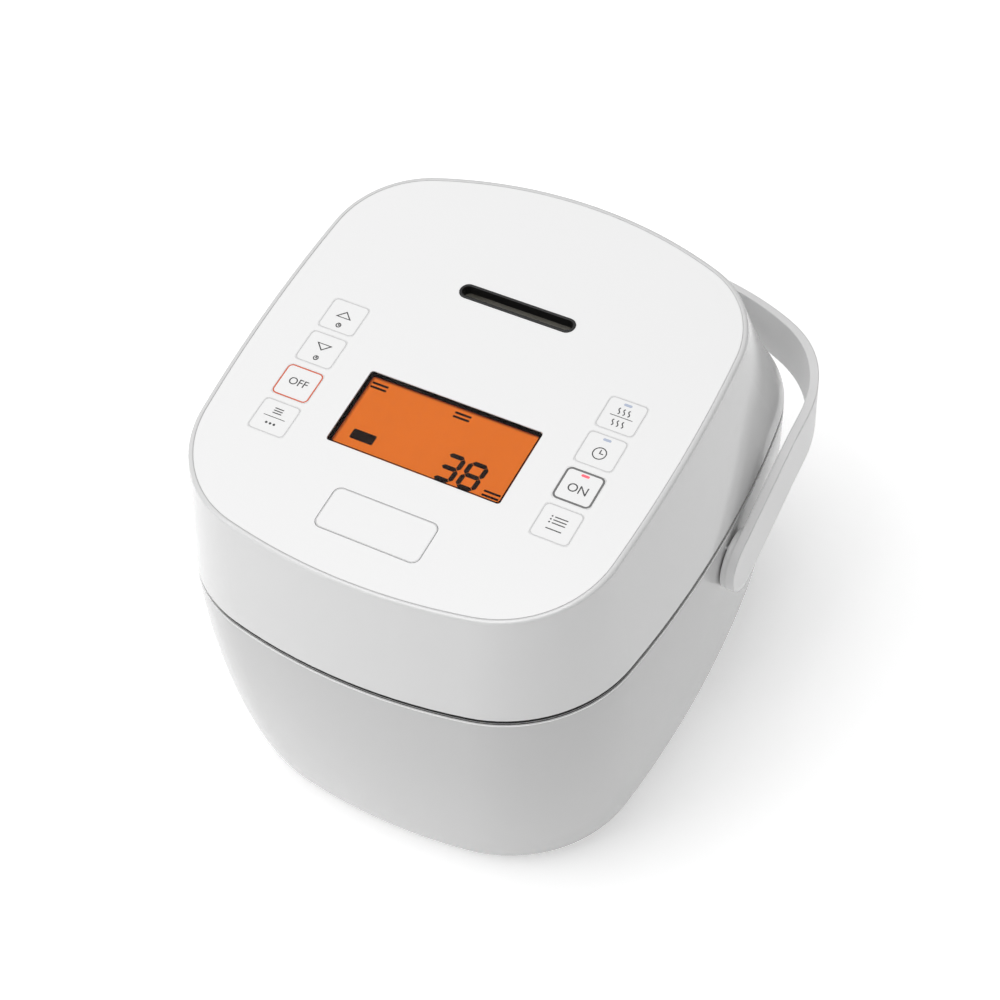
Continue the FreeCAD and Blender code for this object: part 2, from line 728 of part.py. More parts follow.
def make_rubber_feet():
    feet = []
    for p in foot_points():
        pad = rod(FOOT_RADIUS, p, p + Z_AXIS * SHELL_BOTTOM)
        feet.append(fuse(pad, rod(FOOT_STUB, p, p + Z_AXIS * FLOOR_TOP)))
    return Part.makeCompound(feet)


def make_base_screws():
    return Part.makeCompound([screw(p, Z_AXIS, BASE_SCREW_LENGTH) for p in base_screw_points()])


# Rim round the pot
def rim_screw_points():
    points = []
    for i in range(RIM_SCREW_COUNT):
        turn = RIM_SCREW_START_ANGLE + 360 / RIM_SCREW_COUNT * i
        points.append(around_pot(RIM_SCREW_RING, turn, LEDGE_BOTTOM - WELL_FLANGE))
    return points


def make_body_rim():
    top = plate(inset(SEAM, RIM_INSET), SHELL_TOP, RIM_TOP)
    plug = plate(inset(SEAM, WALL + FIT), RIM_UNDERSIDE, SHELL_TOP)
    deck = fuse(top, plug).cut(disc(POT_RECESS_RADIUS, RIM_UNDERSIDE - THROUGH, RIM_TOP + THROUGH))
    skirt = ring(POT_RECESS_RADIUS, SKIRT_RADIUS, LEDGE_BOTTOM, SHELL_TOP)
    ledge = ring(LEDGE_RADIUS, SKIRT_RADIUS, LEDGE_BOTTOM, LEDGE_TOP)
    cuts = [
        box(-BODY_WIDTH, BODY_WIDTH, RIM_REAR_STEP_Y, Y_BACK, SHELL_TOP, RIM_TOP + THROUGH),
        box(-LATCH_SLOT_HALF, LATCH_SLOT_HALF, LATCH_SLOT_FRONT, CATCH_EDGE,
            RIM_UNDERSIDE - THROUGH, RIM_TOP + THROUGH),
    ]
    cuts += [screw_hole(p, Z_AXIS, RIM_SCREW_LENGTH + FIT) for p in rim_screw_points()]
    return fuse(deck, skirt, ledge).cut(cuts)


def make_rim_screws():
    return Part.makeCompound([screw(p, Z_AXIS, RIM_SCREW_LENGTH) for p in rim_screw_points()])


# Pot, well and heating
def pot_point(r, z):
    return V(r, POT_Y, z)


def pot_lines(points):
    places = [pot_point(r, z) for r, z in points]
    return [Part.makeLine(a, b) for a, b in zip(places, places[1:])]


def bowl_edges(radius, corner, bottom, start, top):
    """The side of a round-cornered bowl in section, from a start radius on its floor up to its top."""
    bend = pot_point(radius - corner, bottom + corner)
    low = pot_point(radius - corner, bottom)
    high = pot_point(radius, bottom + corner)
    through = bend + V(math.sqrt(0.5), 0, -math.sqrt(0.5)) * corner
    return [
        Part.makeLine(pot_point(start, bottom), low),
        Part.Arc(low, through, high).toShape(),
        Part.makeLine(high, pot_point(radius, top)),
    ]


def spun_edges(edges):
    face = Part.Face(Part.Wire(Part.__sortEdges__(edges)))
    return face.revolve(V(0, POT_Y, 0), Z_AXIS, 360)


def bowl(radius, corner, bottom, wall, flange_radius, flange, top, hole):
    """A flanged bowl, sized by its outer surface, with a hole in its floor if hole isn't 0."""
    outside = bowl_edges(radius, corner, bottom, hole, top - flange)
    inside = bowl_edges(radius - wall, corner - wall, bottom + wall, hole, top)
    under = top - flange
    brim = pot_lines([(radius, under), (flange_radius, under), (flange_radius, top), (radius - wall, top)])
    close = pot_lines([(hole, bottom), (hole, bottom + wall)])
    return spun_edges(outside + inside + brim + close)


def make_inner_pot():
    top = LEDGE_TOP + POT_FLANGE
    return bowl(POT_RADIUS, POT_CORNER, POT_BOTTOM, POT_WALL, POT_FLANGE_RADIUS, POT_FLANGE, top, 0)


def make_pot_well():
    hole = SENSOR_HOLDER_RADIUS + FIXED_GAP
    well = bowl(WELL_RADIUS, WELL_CORNER, WELL_BOTTOM, WELL_WALL,
                SKIRT_RADIUS, WELL_FLANGE, LEDGE_BOTTOM, hole)
    return well.cut([screw_hole(p, Z_AXIS, WELL_FLANGE) for p in rim_screw_points()])


def make_induction_coil():
    return ring(COIL_INNER, COIL_OUTER, HOLDER_TOP, COIL_TOP)


def make_coil_holder():
    """A ring plate whose posts reach up to the underside of the well's round corner."""
    floor = WELL_BOTTOM - FIXED_GAP
    side = bowl_edges(WELL_RADIUS, WELL_CORNER, floor, 0, BAND_BOTTOM)
    closing = pot_lines([(WELL_RADIUS, BAND_BOTTOM), (0, BAND_BOTTOM), (0, floor)])
    well_space = spun_edges(side + closing)
    posts = []
    for angle in HOLDER_POST_ANGLES:
        foot = around_pot(HOLDER_POST_RING, angle, HOLDER_BOTTOM)
        posts.append(rod(HOLDER_POST_RADIUS, foot, foot + Z_AXIS * WELL_CORNER).cut(well_space))
    return fuse(ring(HOLDER_INNER, HOLDER_OUTER, HOLDER_BOTTOM, HOLDER_TOP), *posts)


def make_ferrite_bars():
    half = FERRITE_WIDTH / 2
    low = HOLDER_BOTTOM - FERRITE_THICKNESS
    bars = []
    for i in range(FERRITE_COUNT):
        bar = box(FERRITE_START, FERRITE_END, POT_Y - half, POT_Y + half, low, HOLDER_BOTTOM)
        bar.rotate(V(0, POT_Y, 0), Z_AXIS, 360 / FERRITE_COUNT * i)
        bars.append(bar)
    return Part.makeCompound(bars)


def make_side_heater():
    inner = WELL_RADIUS + FIXED_GAP
    return ring(inner, inner + BAND_THICKNESS, BAND_BOTTOM, BAND_TOP)


# Centre sensor
def make_sensor_holder():
    cup = ring(SENSOR_BORE, SENSOR_HOLDER_RADIUS, SENSOR_HOLDER_BOTTOM, WELL_BOTTOM + WELL_WALL)
    floor = ring(SENSOR_STEM + SENSOR_SLIDE_GAP, SENSOR_HOLDER_RADIUS, SENSOR_HOLDER_BOTTOM, SENSOR_FLOOR_TOP)
    flange_bottom = WELL_BOTTOM - SENSOR_HOLDER_FLANGE_THICKNESS
    flange = ring(SENSOR_BORE, SENSOR_HOLDER_RADIUS + SENSOR_HOLDER_FLANGE, flange_bottom, WELL_BOTTOM)
    return fuse(cup, floor, flange)


def make_sensor_cap():
    cap = disc(SENSOR_RADIUS, SENSOR_TOP - SENSOR_CAP, SENSOR_TOP)
    return fuse(cap, disc(SENSOR_STEM, SENSOR_HOLDER_BOTTOM - SENSOR_STEM_OUT, SENSOR_TOP - SENSOR_CAP / 2))


def make_sensor_spring():
    inner = SENSOR_STEM + SENSOR_SPRING_GAP
    return ring(inner, inner + SENSOR_SPRING_WALL, SENSOR_FLOOR_TOP, SENSOR_TOP - SENSOR_CAP)


# Fan
def fan_rod(radius, z0, z1):
    return rod(radius, V(FAN_X, FAN_Y, z0), V(FAN_X, FAN_Y, z1))


def make_fan_frame():
    half = FAN_SIZE / 2
    low = FAN_TOP - FAN_PLATE
    case = box(FAN_X - half, FAN_X + half, FAN_Y - half, FAN_Y + half, FLOOR_TOP, FAN_TOP)
    case = case.cut(fan_rod(FAN_BORE, FLOOR_TOP - THROUGH, FAN_TOP + THROUGH))
    reach = half - THROUGH
    strut = FAN_STRUT / 2
    struts = [
        box(FAN_X - reach, FAN_X + reach, FAN_Y - strut, FAN_Y + strut, low, FAN_TOP),
        box(FAN_X - strut, FAN_X + strut, FAN_Y - reach, FAN_Y + reach, low, FAN_TOP),
    ]
    frame = fuse(case, fan_rod(FAN_HUB, low, FAN_TOP), *struts)
    return frame.cut(fan_rod(FAN_SHAFT + RUNNING, low - THROUGH, FAN_TOP + THROUGH))


def make_fan_rotor():
    bottom = FLOOR_TOP + FAN_END_GAP
    top = FAN_TOP - FAN_PLATE - FAN_END_GAP
    half = FAN_BLADE_THICKNESS / 2
    chord = FAN_BLADE_CHORD / 2
    pieces = [fan_rod(FAN_HUB, bottom, top), fan_rod(FAN_SHAFT, bottom, FAN_TOP)]
    for i in range(FAN_BLADES):
        blade = box(FAN_HUB / 2, FAN_BORE - FAN_TIP_GAP, -half, half, -chord, chord)
        blade.rotate(V(0, 0, 0), X_AXIS, FAN_BLADE_PITCH)
        blade.rotate(V(0, 0, 0), Z_AXIS, 360 / FAN_BLADES * i)
        blade.translate(V(FAN_X, FAN_Y, (bottom + top) / 2))
        pieces.append(blade)
    return fuse(*pieces)


# Power board and inlet
def make_power_board():
    return box(BOARD_LEFT, BOARD_RIGHT, BOARD_Y, BOARD_BACK_Y, FLOOR_TOP, FLOOR_TOP + BOARD_HEIGHT)


def make_heat_sink():
    top = SINK_BOTTOM + SINK_HEIGHT
    back = BOARD_BACK_Y + SINK_DEPTH
    right = SINK_LEFT + SINK_WIDTH
    pieces = [box(SINK_LEFT, right, BOARD_BACK_Y, BOARD_BACK_Y + SINK_BASE, SINK_BOTTOM, top)]
    pitch = (SINK_WIDTH - SINK_FIN) / (SINK_FINS - 1)
    for i in range(SINK_FINS):
        x = SINK_LEFT + pitch * i
        pieces.append(box(x, x + SINK_FIN, BOARD_BACK_Y, back, SINK_BOTTOM, top))
    return fuse(*pieces)


def make_board_components():
    """Two capacitors and a choke on the front of the power board."""
    parts = []
    for x in CAPACITOR_X:
        foot = V(x, BOARD_Y, CAPACITOR_Z)
        parts.append(rod(CAPACITOR_RADIUS, foot, foot - Y_AXIS * CAPACITOR_LENGTH))
    half = CHOKE_SIZE / 2
    parts.append(box(CHOKE_X - half, CHOKE_X + half, BOARD_Y - CHOKE_DEPTH, BOARD_Y,
                     CHOKE_Z - half, CHOKE_Z + half))
    return Part.makeCompound(parts)


def make_power_inlet():
    pocket = inlet_block(-INLET_WALL, INLET_FLOOR_Y, INLET_REAR_Y + THROUGH)
    return inlet_block(0, INLET_REAR_Y - INLET_DEPTH, INLET_REAR_Y).cut(pocket)


def make_inlet_pins():
    pins = []
    for side in (-1, 1):
        root = V(INLET_X + side * INLET_PIN_SPREAD / 2, INLET_FLOOR_Y, INLET_Z)
        pins.append(rod(INLET_PIN_RADIUS, root, root + Y_AXIS * INLET_PIN_LENGTH))
    return Part.makeCompound(pins)


# Carry handle
def side_point(y, z):
    return V(-BODY_WIDTH, y, z)


def handle_side_view():
    """The handle seen from the side: a round arm end, an arm that climbs, and an arched rear bar."""
    slope = math.radians(ARM_SLOPE)
    along = V(0, math.cos(slope), math.sin(slope))
    square = V(0, -math.sin(slope), math.cos(slope))
    end = side_point(ARM_END_Y, ARM_END_Z)
    top = end + square * ARM_END_RADIUS
    bottom = end - square * ARM_END_RADIUS
    top_bend = top + along * ARM_STRAIGHT
    bottom_bend = bottom + along * ARM_STRAIGHT
    top_end = side_point(HANDLE_BACK + THROUGH, HANDLE_REAR_TOP_Z)
    bottom_end = side_point(HANDLE_BACK + THROUGH, HANDLE_REAR_BOTTOM_Z)
    top_mid = (top_bend + top_end) / 2 + Z_AXIS * HANDLE_TOP_ARCH
    bottom_mid = (bottom_bend + bottom_end) / 2 + Z_AXIS * HANDLE_BOTTOM_ARCH
    edges = [
        Part.makeLine(top, top_bend),
        Part.Arc(top_bend, top_mid, top_end).toShape(),
        Part.makeLine(top_end, bottom_end),
        Part.Arc(bottom_end, bottom_mid, bottom_bend).toShape(),
        Part.makeLine(bottom_bend, bottom),
        Part.Arc(bottom, end - along * ARM_END_RADIUS, top).toShape(),
    ]
    return Part.Face(Part.Wire(edges)).extrude(X_AXIS * 2 * BODY_WIDTH)


def pivot_point(side, x):
    return V(side * x, PIVOT_Y, PIVOT_Z)


def make_carry_handle():
    band = plate(HANDLE, 0, PANEL_HEIGHT)
    band = band.cut(plate(inset(HANDLE, HANDLE_THICKNESS), -THROUGH, PANEL_HEIGHT + THROUGH))
    band = band.common(handle_side_view())
    near = HALF_WIDTH + ARM_PAD_GAP
    middle = HANDLE_HALF_WIDTH - HANDLE_THICKNESS / 2
    pads = []
    bores = []
    for side in (-1, 1):
        face = V(side * near, ARM_END_Y, ARM_END_Z)
        floor = pivot_point(side, HANDLE_HALF_WIDTH - PIVOT_BORE_FLOOR)
        pads.append(rod(ARM_PAD_RADIUS, face, V(side * middle, ARM_END_Y, ARM_END_Z)))
        bores.append(rod(PIVOT_PIN_RADIUS + RUNNING, pivot_point(side, near), floor))
    return fuse(band, *pads).cut(bores)


def make_handle_pins():
    tip = HANDLE_HALF_WIDTH - PIVOT_BORE_FLOOR - PIVOT_PIN_END_GAP
    head_face = HALF_WIDTH - WALL - PIVOT_PIN_WALL_GAP
    back = head_face - PIVOT_PIN_HEAD_THICKNESS
    pins = []
    for side in (-1, 1):
        head = rod(PIVOT_PIN_HEAD, pivot_point(side, back), pivot_point(side, head_face))
        pins.append(fuse(head, rod(PIVOT_PIN_RADIUS, pivot_point(side, back), pivot_point(side, tip))))
    return Part.makeCompound(pins)


# Lid shell
def panel_row(o, height):
    return [[PANEL_FRAME.multVec(p) for p in span] for span in outline_poles(o, height)]


def lid_wall(wall, bottom, top_height):
    flare = drawn_in(SEAM, LID_FLARE_SIDE, LID_FLARE_FRONT, LID_FLARE_BACK)
    flare = flare._replace(front_corner=LID_FLARE_FRONT_CORNER, back_corner=LID_FLARE_BACK_CORNER)
    return [
        outline_poles(inset(SEAM, wall), bottom),
        outline_poles(inset(flare, wall), LID_BOTTOM + LID_FLARE_HEIGHT),
        panel_row(inset(PANEL, wall - PANEL_RIM), top_height),
    ]


def lid_outside():
    wall = lid_wall(0, LID_BOTTOM, -LID_EDGE_ROUND)
    edge = [
        wall[-1],
        panel_row(inset(PANEL, -PANEL_RIM), 0),
        panel_row(inset(PANEL, LID_EDGE_ROUND - PANEL_RIM), 0),
    ]
    return skin(wall, edge)


def lid_inside(gap):
    return skin(lid_wall(WALL + gap, LID_BOTTOM, PANEL_UNDERSIDE - LEDGE_DEPTH))


def panel_level(y, depth):
    """Height of the point that lies depth below the panel's face, above a place y in the plan."""
    tilt = math.radians(PANEL_TILT)
    return PANEL_HEIGHT + (y - PANEL_Y) * math.tan(tilt) - depth / math.cos(tilt)


def lid_post_points():
    return [V(side * x, y, LID_BASE_TOP) for side in (-1, 1) for x, y in LID_POSTS]


def hinge_rod(radius, x0, x1):
    return rod(radius, V(x0, HINGE_Y, HINGE_Z), V(x1, HINGE_Y, HINGE_Z))


def hinge_bay():
    """The room that the hinge needs in the lid's back."""
    front = HINGE_Y - HINGE_BAY_RADIUS
    top = HINGE_Z + HINGE_BAY_RADIUS
    return box(-HINGE_BAY_HALF, HINGE_BAY_HALF, front, Y_BACK + THROUGH, LID_BOTTOM - THROUGH, top)


def make_lid_shell():
    low = PANEL_UNDERSIDE - LEDGE_DEPTH - THROUGH
    shell = lid_outside().cut(lid_inside(0))
    shell = shell.cut([
        on_panel(plate(PANEL, PANEL_UNDERSIDE, THROUGH)),
        on_panel(plate(inset(PANEL, LEDGE_WIDTH), low, THROUGH)),
    ])
    posts = []
    for p in lid_post_points():
        top = panel_level(p.y, PANEL_THICKNESS + LEDGE_DEPTH / 2)
        posts.append(rod(LID_POST_RADIUS, p, V(p.x, p.y, top)))
    shell = shell.fuse(posts)
    cuts = [
        box(-BODY_WIDTH, BODY_WIDTH, LID_REAR_FLAT_Y, Y_BACK + THROUGH, LID_BOTTOM - THROUGH, PANEL_HEIGHT),
        hinge_bay(),
    ]
    cuts += [screw_hole(p, Z_AXIS, LID_SCREW_LENGTH) for p in lid_post_points()]
    return shell.cut(cuts)


# Lid base and the pieces under it
def duct_bore(z0, z1):
    return stadium(DUCT_HALF, DUCT_BORE, DUCT_Y, z0, z1)


def make_lid_base():
    low = LID_BASE_BOTTOM - THROUGH
    high = LID_BASE_TOP + THROUGH
    slab = box(-BODY_WIDTH, BODY_WIDTH, Y_FRONT, Y_BACK, LID_BASE_BOTTOM, LID_BASE_TOP)
    slab = lid_inside(FIT).common(slab)
    front = LATCH_Y - LATCH_POST_HALF_DEPTH
    back = LATCH_Y + LATCH_POST_HALF_DEPTH
    post = box(LATCH_POST_X, LATCH_POST_X + LATCH_POST_THICKNESS, front, back,
               LID_BASE_BOTTOM, LATCH_Z + LATCH_POST_HALF_DEPTH)
    cuts = [
        box(-BASE_BAY_HALF, BASE_BAY_HALF, BASE_BAY_Y, Y_BACK, low, high),
        box(-LATCH_SLOT_HALF, LATCH_SLOT_HALF, LATCH_SLOT_FRONT, LATCH_SLOT_BACK, low, high),
        duct_bore(low, high),
        latch_rod(LATCH_PIN_RADIUS + RUNNING, -LATCH_PIN_HALF, LATCH_PIN_HALF),
    ]
    for p in lid_post_points():
        cuts.append(screw_hole(p - Z_AXIS * LID_BASE_THICKNESS, Z_AXIS, LID_BASE_THICKNESS))
    return fuse(slab, post, mirrored(post)).cut(cuts)


def make_lid_screws():
    drop = Z_AXIS * LID_BASE_THICKNESS
    return Part.makeCompound([screw(p - drop, Z_AXIS, LID_SCREW_LENGTH) for p in lid_post_points()])


def make_lid_heater():
    sheet = disc(HEATER_RADIUS, LID_BASE_BOTTOM - HEATER_THICKNESS, LID_BASE_BOTTOM)
    return sheet.cut(duct_bore(LID_BASE_BOTTOM - HEATER_THICKNESS - THROUGH, LID_BASE_BOTTOM + THROUGH))


def make_inner_lid():
    sheet = disc(INNER_LID_RADIUS, INNER_LID_BOTTOM, INNER_LID_TOP)
    low = INNER_LID_BOTTOM - THROUGH
    high = INNER_LID_TOP + THROUGH
    return sheet.cut([rod(STEAM_HOLE_RADIUS, V(x, DUCT_Y, low), V(x, DUCT_Y, high)) for x in STEAM_HOLE_X])


def make_lid_gasket():
    edge = INNER_LID_RADIUS + FIXED_GAP
    low = INNER_LID_BOTTOM - FIXED_GAP
    return spun([
        (GASKET_LIP, GASKET_BOTTOM), (GASKET_OUTER, GASKET_BOTTOM), (GASKET_OUTER, INNER_LID_TOP),
        (edge, INNER_LID_TOP), (edge, low), (GASKET_LIP, low),
    ])


# Top panel, display and keys, drawn in the panel's own frame
def key_places():
    return [(side * KEY_X, y) for side in (-1, 1) for y in KEY_YS]


def panel_boss_places():
    return [(side * x, y) for side in (-1, 1) for x, y in PANEL_BOSSES]


def panel_rod(radius, x, y, z0, z1):
    return rod(radius, V(x, y, z0), V(x, y, z1))


def window_block(grow, z0, z1):
    return rounded_block(WINDOW_WIDTH + 2 * grow, WINDOW_DEPTH + 2 * grow, WINDOW_CORNER, 0, WINDOW_Y, z0, z1)


def key_block(grow, x, y, z0, z1):
    return rounded_block(KEY_WIDTH + 2 * grow, KEY_DEPTH + 2 * grow, KEY_CORNER, x, y, z0, z1)


def button_block(grow, z0, z1):
    width = BUTTON_WIDTH + 2 * grow
    return rounded_block(width, BUTTON_DEPTH + 2 * grow, BUTTON_CORNER + grow, 0, BUTTON_Y, z0, z1)


def make_top_panel():
    low = PANEL_UNDERSIDE - THROUGH
    sheet = plate(inset(PANEL, FIT), PANEL_UNDERSIDE, 0)
    bosses = []
    cuts = [
        window_block(0, low, THROUGH),
        stadium(VENT_HALF, VENT_RADIUS + FIT, VENT_Y, low, THROUGH),
        button_block(KEY_GAP, low, THROUGH),
    ]
    cuts += [key_block(KEY_GAP, x, y, low, THROUGH) for x, y in key_places()]
    for x, y in panel_boss_places():
        bosses.append(panel_rod(PANEL_BOSS_RADIUS, x, y, CONTROL_BOARD_TOP, PANEL_UNDERSIDE))
        cuts.append(panel_rod(BOARD_SCREW_RADIUS + RUNNING, x, y, CONTROL_BOARD_TOP, BOARD_SCREW_HOLE_TOP))
    return on_panel(fuse(sheet, *bosses).cut(cuts))


def make_display_window():
    return on_panel(window_block(-FIT, LENS_BOTTOM, LENS_TOP))


def make_display_frame():
    walls = window_block(-FIT, FRAME_BOTTOM, LENS_BOTTOM)
    flange = window_block(FRAME_FLANGE, PANEL_UNDERSIDE - FRAME_FLANGE_THICKNESS, PANEL_UNDERSIDE)
    opening = window_block(-FIT - FRAME_WALL, FRAME_BOTTOM - THROUGH, LENS_BOTTOM + THROUGH)
    return on_panel(fuse(walls, flange).cut(opening))


def make_display_module():
    return on_panel(window_block(MODULE_MARGIN, CONTROL_BOARD_TOP, FRAME_BOTTOM))


def make_control_board():
    half = CONTROL_BOARD_HALF
    low = CONTROL_BOARD_BOTTOM - THROUGH
    board = box(-half, half, CONTROL_BOARD_FRONT, CONTROL_BOARD_BACK, CONTROL_BOARD_BOTTOM, CONTROL_BOARD_TOP)
    hole = BOARD_SCREW_RADIUS + RUNNING
    return on_panel(board.cut([panel_rod(hole, x, y, low, 0) for x, y in panel_boss_places()]))


def make_board_screws():
    head_bottom = CONTROL_BOARD_BOTTOM - BOARD_SCREW_HEAD_THICKNESS
    screws = []
    for x, y in panel_boss_places():
        head = panel_rod(BOARD_SCREW_HEAD, x, y, head_bottom, CONTROL_BOARD_BOTTOM)
        shank = panel_rod(BOARD_SCREW_RADIUS, x, y, head_bottom, BOARD_SCREW_TOP)
        screws.append(on_panel(fuse(head, shank)))
    return Part.makeCompound(screws)


def make_key_switches():
    half = SWITCH_SIZE / 2
    top = CONTROL_BOARD_TOP + SWITCH_HEIGHT
    switches = [box(x - half, x + half, y - half, y + half, CONTROL_BOARD_TOP, top) for x, y in key_places()]
    return Part.makeCompound([on_panel(switch) for switch in switches])


def make_key(x, y):
    stem_end = CONTROL_BOARD_TOP + SWITCH_HEIGHT + KEY_TRAVEL + SWITCH_CLEARANCE
    cap = key_block(0, x, y, KEY_FLANGE_BOTTOM, 0)
    flange = key_block(KEY_FLANGE, x, y, KEY_FLANGE_BOTTOM, KEY_FLANGE_TOP)
    stem = panel_rod(KEY_STEM_RADIUS, x, y, stem_end, KEY_FLANGE_TOP)
    return on_panel(fuse(cap, flange, stem))


# Release button and latch
def make_release_button():
    cap = button_block(0, -BUTTON_SKIRT_DEPTH, 0)
    flange = button_block(KEY_FLANGE, KEY_FLANGE_BOTTOM, KEY_FLANGE_TOP)
    hollow = button_block(-BUTTON_SKIRT, -BUTTON_SKIRT_DEPTH - THROUGH, -BUTTON_TOP)
    half = BUTTON_STEM_WIDTH / 2
    front = BUTTON_Y - BUTTON_STEM_DEPTH / 2
    stem = box(-half, half, front, front + BUTTON_STEM_DEPTH, -BUTTON_STEM_LENGTH, -BUTTON_TOP / 2)
    return on_panel(fuse(fuse(cap, flange).cut(hollow), stem))


def latch_rod(radius, x0, x1):
    return rod(radius, V(x0, LATCH_Y, LATCH_Z), V(x1, LATCH_Y, LATCH_Z))


def latch_block(y0, y1, z0, z1):
    return box(-LATCH_HALF, LATCH_HALF, y0, y1, z0, z1)


def make_latch_lever():
    """A bell crank: its pad lies under the button's stem, and its nose hooks under the catch."""
    pad = PANEL_FRAME.multVec(V(0, BUTTON_Y, -BUTTON_STEM_LENGTH - LATCH_PAD_GAP))
    half = LATCH_ARM / 2
    eye = latch_rod(LATCH_EYE, -LATCH_HALF, LATCH_HALF)
    shank = latch_block(LATCH_SHANK_FRONT, LATCH_SHANK_BACK, NOSE_TOP - NOSE_HEIGHT, LATCH_Z)
    nose = latch_block(LATCH_SHANK_FRONT, LATCH_NOSE_Y, NOSE_TOP - NOSE_HEIGHT, NOSE_TOP)
    arm = side_prism([
        (LATCH_Y - half, LATCH_Z + half), (LATCH_Y + half, LATCH_Z - half),
        (pad.y + half, pad.z - LATCH_ARM), (pad.y - half, pad.z - half),
    ], -LATCH_HALF, LATCH_HALF)
    rest = latch_block(pad.y - LATCH_PAD_HALF, pad.y + LATCH_PAD_HALF, pad.z - LATCH_ARM, pad.z)
    bore = latch_rod(LATCH_PIN_RADIUS + RUNNING, -LATCH_PIN_HALF, LATCH_PIN_HALF)
    return fuse(eye, shank, nose, arm, rest).cut(bore)


def make_latch_pin():
    return latch_rod(LATCH_PIN_RADIUS, -LATCH_PIN_HALF, LATCH_PIN_HALF)


def make_latch_spring():
    x0 = LATCH_HALF + LATCH_SPRING_GAP
    x1 = LATCH_POST_X - LATCH_SPRING_GAP
    inner = latch_rod(LATCH_PIN_RADIUS + LATCH_SPRING_GAP, x0, x1)
    return latch_rod(LATCH_SPRING_RADIUS, x0, x1).cut(inner)


def make_latch_catch():
    low = RIM_UNDERSIDE - CATCH_THICKNESS
    return box(-CATCH_HALF, CATCH_HALF, CATCH_EDGE, CATCH_EDGE + CATCH_DEPTH, low, RIM_UNDERSIDE)


# Lid hinge
def hinge_eye(post, x0, x1):
    bore = hinge_rod(HINGE_PIN_RADIUS + RUNNING, x0 - THROUGH, x1 + THROUGH)
    return both_sides(fuse(post, hinge_rod(HINGE_EYE, x0, x1)).cut(bore))


def make_hinge_brackets():
    front = HINGE_Y - HINGE_EYE
    back = HINGE_Y + HINGE_EYE
    post = box(HINGE_BRACKET_X, HINGE_BRACKET_END, front, back, SHELL_TOP, HINGE_Z)
    return hinge_eye(post, HINGE_BRACKET_X, HINGE_BRACKET_END)


def make_hinge_arms():
    end = HINGE_ARM_X + HINGE_ARM_THICKNESS
    front = HINGE_Y - HINGE_ARM_REACH
    arm = box(HINGE_ARM_X, end, front, HINGE_Y, LID_BASE_TOP, HINGE_Z + HINGE_EYE)
    return hinge_eye(arm, HINGE_ARM_X, end)


def make_hinge_pin():
    end = HINGE_BRACKET_END + HINGE_PIN_OVERHANG
    return hinge_rod(HINGE_PIN_RADIUS, -end, end)


def make_hinge_cover():
    """A half barrel over the hinge, on a leg that stands on the body's back edge."""
    half = HINGE_COVER_HALF
    inner = HINGE_COVER_RADIUS - HINGE_COVER_WALL
    reach = HINGE_COVER_RADIUS + THROUGH
    barrel = hinge_rod(HINGE_COVER_RADIUS, -half, half).cut(hinge_rod(inner, -half, half))
    lower = box(-half, half, HINGE_Y - reach, HINGE_Y + reach, HINGE_Z - reach, HINGE_Z)
    leg = box(-half, half, HINGE_Y + inner, HINGE_Y + HINGE_COVER_RADIUS, SHELL_TOP, HINGE_Z)
    return fuse(barrel.cut(lower), leg)


def make_lid_spring():
    """The torsion spring on the hinge pin: one leg stands on the rim, the other lifts the lid base."""
    half = LID_SPRING_HALF
    inner = HINGE_PIN_RADIUS + LID_SPRING_GAP
    middle = inner + LID_SPRING_WALL / 2
    coil = hinge_rod(inner + LID_SPRING_WALL, -half, half).cut(hinge_rod(inner, -half, half))
    x = half - LID_SPRING_WALL
    down = rod(LID_SPRING_LEG, V(x, HINGE_Y - middle, HINGE_Z), V(x, HINGE_Y - middle, SHELL_TOP))
    tip = V(-x, HINGE_Y - LID_SPRING_LEG_REACH, LID_BASE_BOTTOM - LID_SPRING_LEG_DROP)
    forward = rod(LID_SPRING_LEG, V(-x, HINGE_Y, HINGE_Z - middle), tip)
    return fuse(coil, down, forward)


# Steam path and pressure valve
def make_vent_bezel():
    collar = stadium(VENT_HALF, VENT_RADIUS, VENT_Y, -VENT_COLLAR_DEPTH, VENT_PROUD)
    flange = stadium(VENT_HALF, VENT_RADIUS + VENT_FLANGE, VENT_Y, -VENT_COLLAR_DEPTH, PANEL_UNDERSIDE)
    slot = stadium(VENT_HALF, VENT_SLOT_RADIUS, VENT_Y, -VENT_COLLAR_DEPTH - THROUGH, VENT_PROUD + THROUGH)
    return on_panel(fuse(collar, flange).cut(slot))


def make_steam_duct():
    walls = stadium(DUCT_HALF, DUCT_RADIUS, DUCT_Y, LID_BASE_TOP, PANEL_HEIGHT + DUCT_RADIUS)
    walls = walls.cut(duct_bore(LID_BASE_TOP - THROUGH, PANEL_HEIGHT + DUCT_RADIUS + THROUGH))
    above = on_panel(box(-BODY_WIDTH, BODY_WIDTH, -BODY_WIDTH, BODY_WIDTH, -VENT_COLLAR_DEPTH, PANEL_HEIGHT))
    return walls.cut(above)


def plunger_rod(radius, x0, x1):
    return rod(radius, V(x0, SOLENOID_Y, PLUNGER_Z), V(x1, SOLENOID_Y, PLUNGER_Z))


def valve_block(x0, x1):
    half = SOLENOID_SIZE / 2
    return box(x0, x1, SOLENOID_Y - half, SOLENOID_Y + half, LID_BASE_TOP, LID_BASE_TOP + SOLENOID_SIZE)


def make_pressure_solenoid():
    floor = SOLENOID_FACE - PLUNGER_IN - PLUNGER_END_GAP
    bore = plunger_rod(PLUNGER_RADIUS + RUNNING, floor, SOLENOID_FACE + THROUGH)
    return valve_block(SOLENOID_FACE - SOLENOID_LENGTH, SOLENOID_FACE).cut(bore)


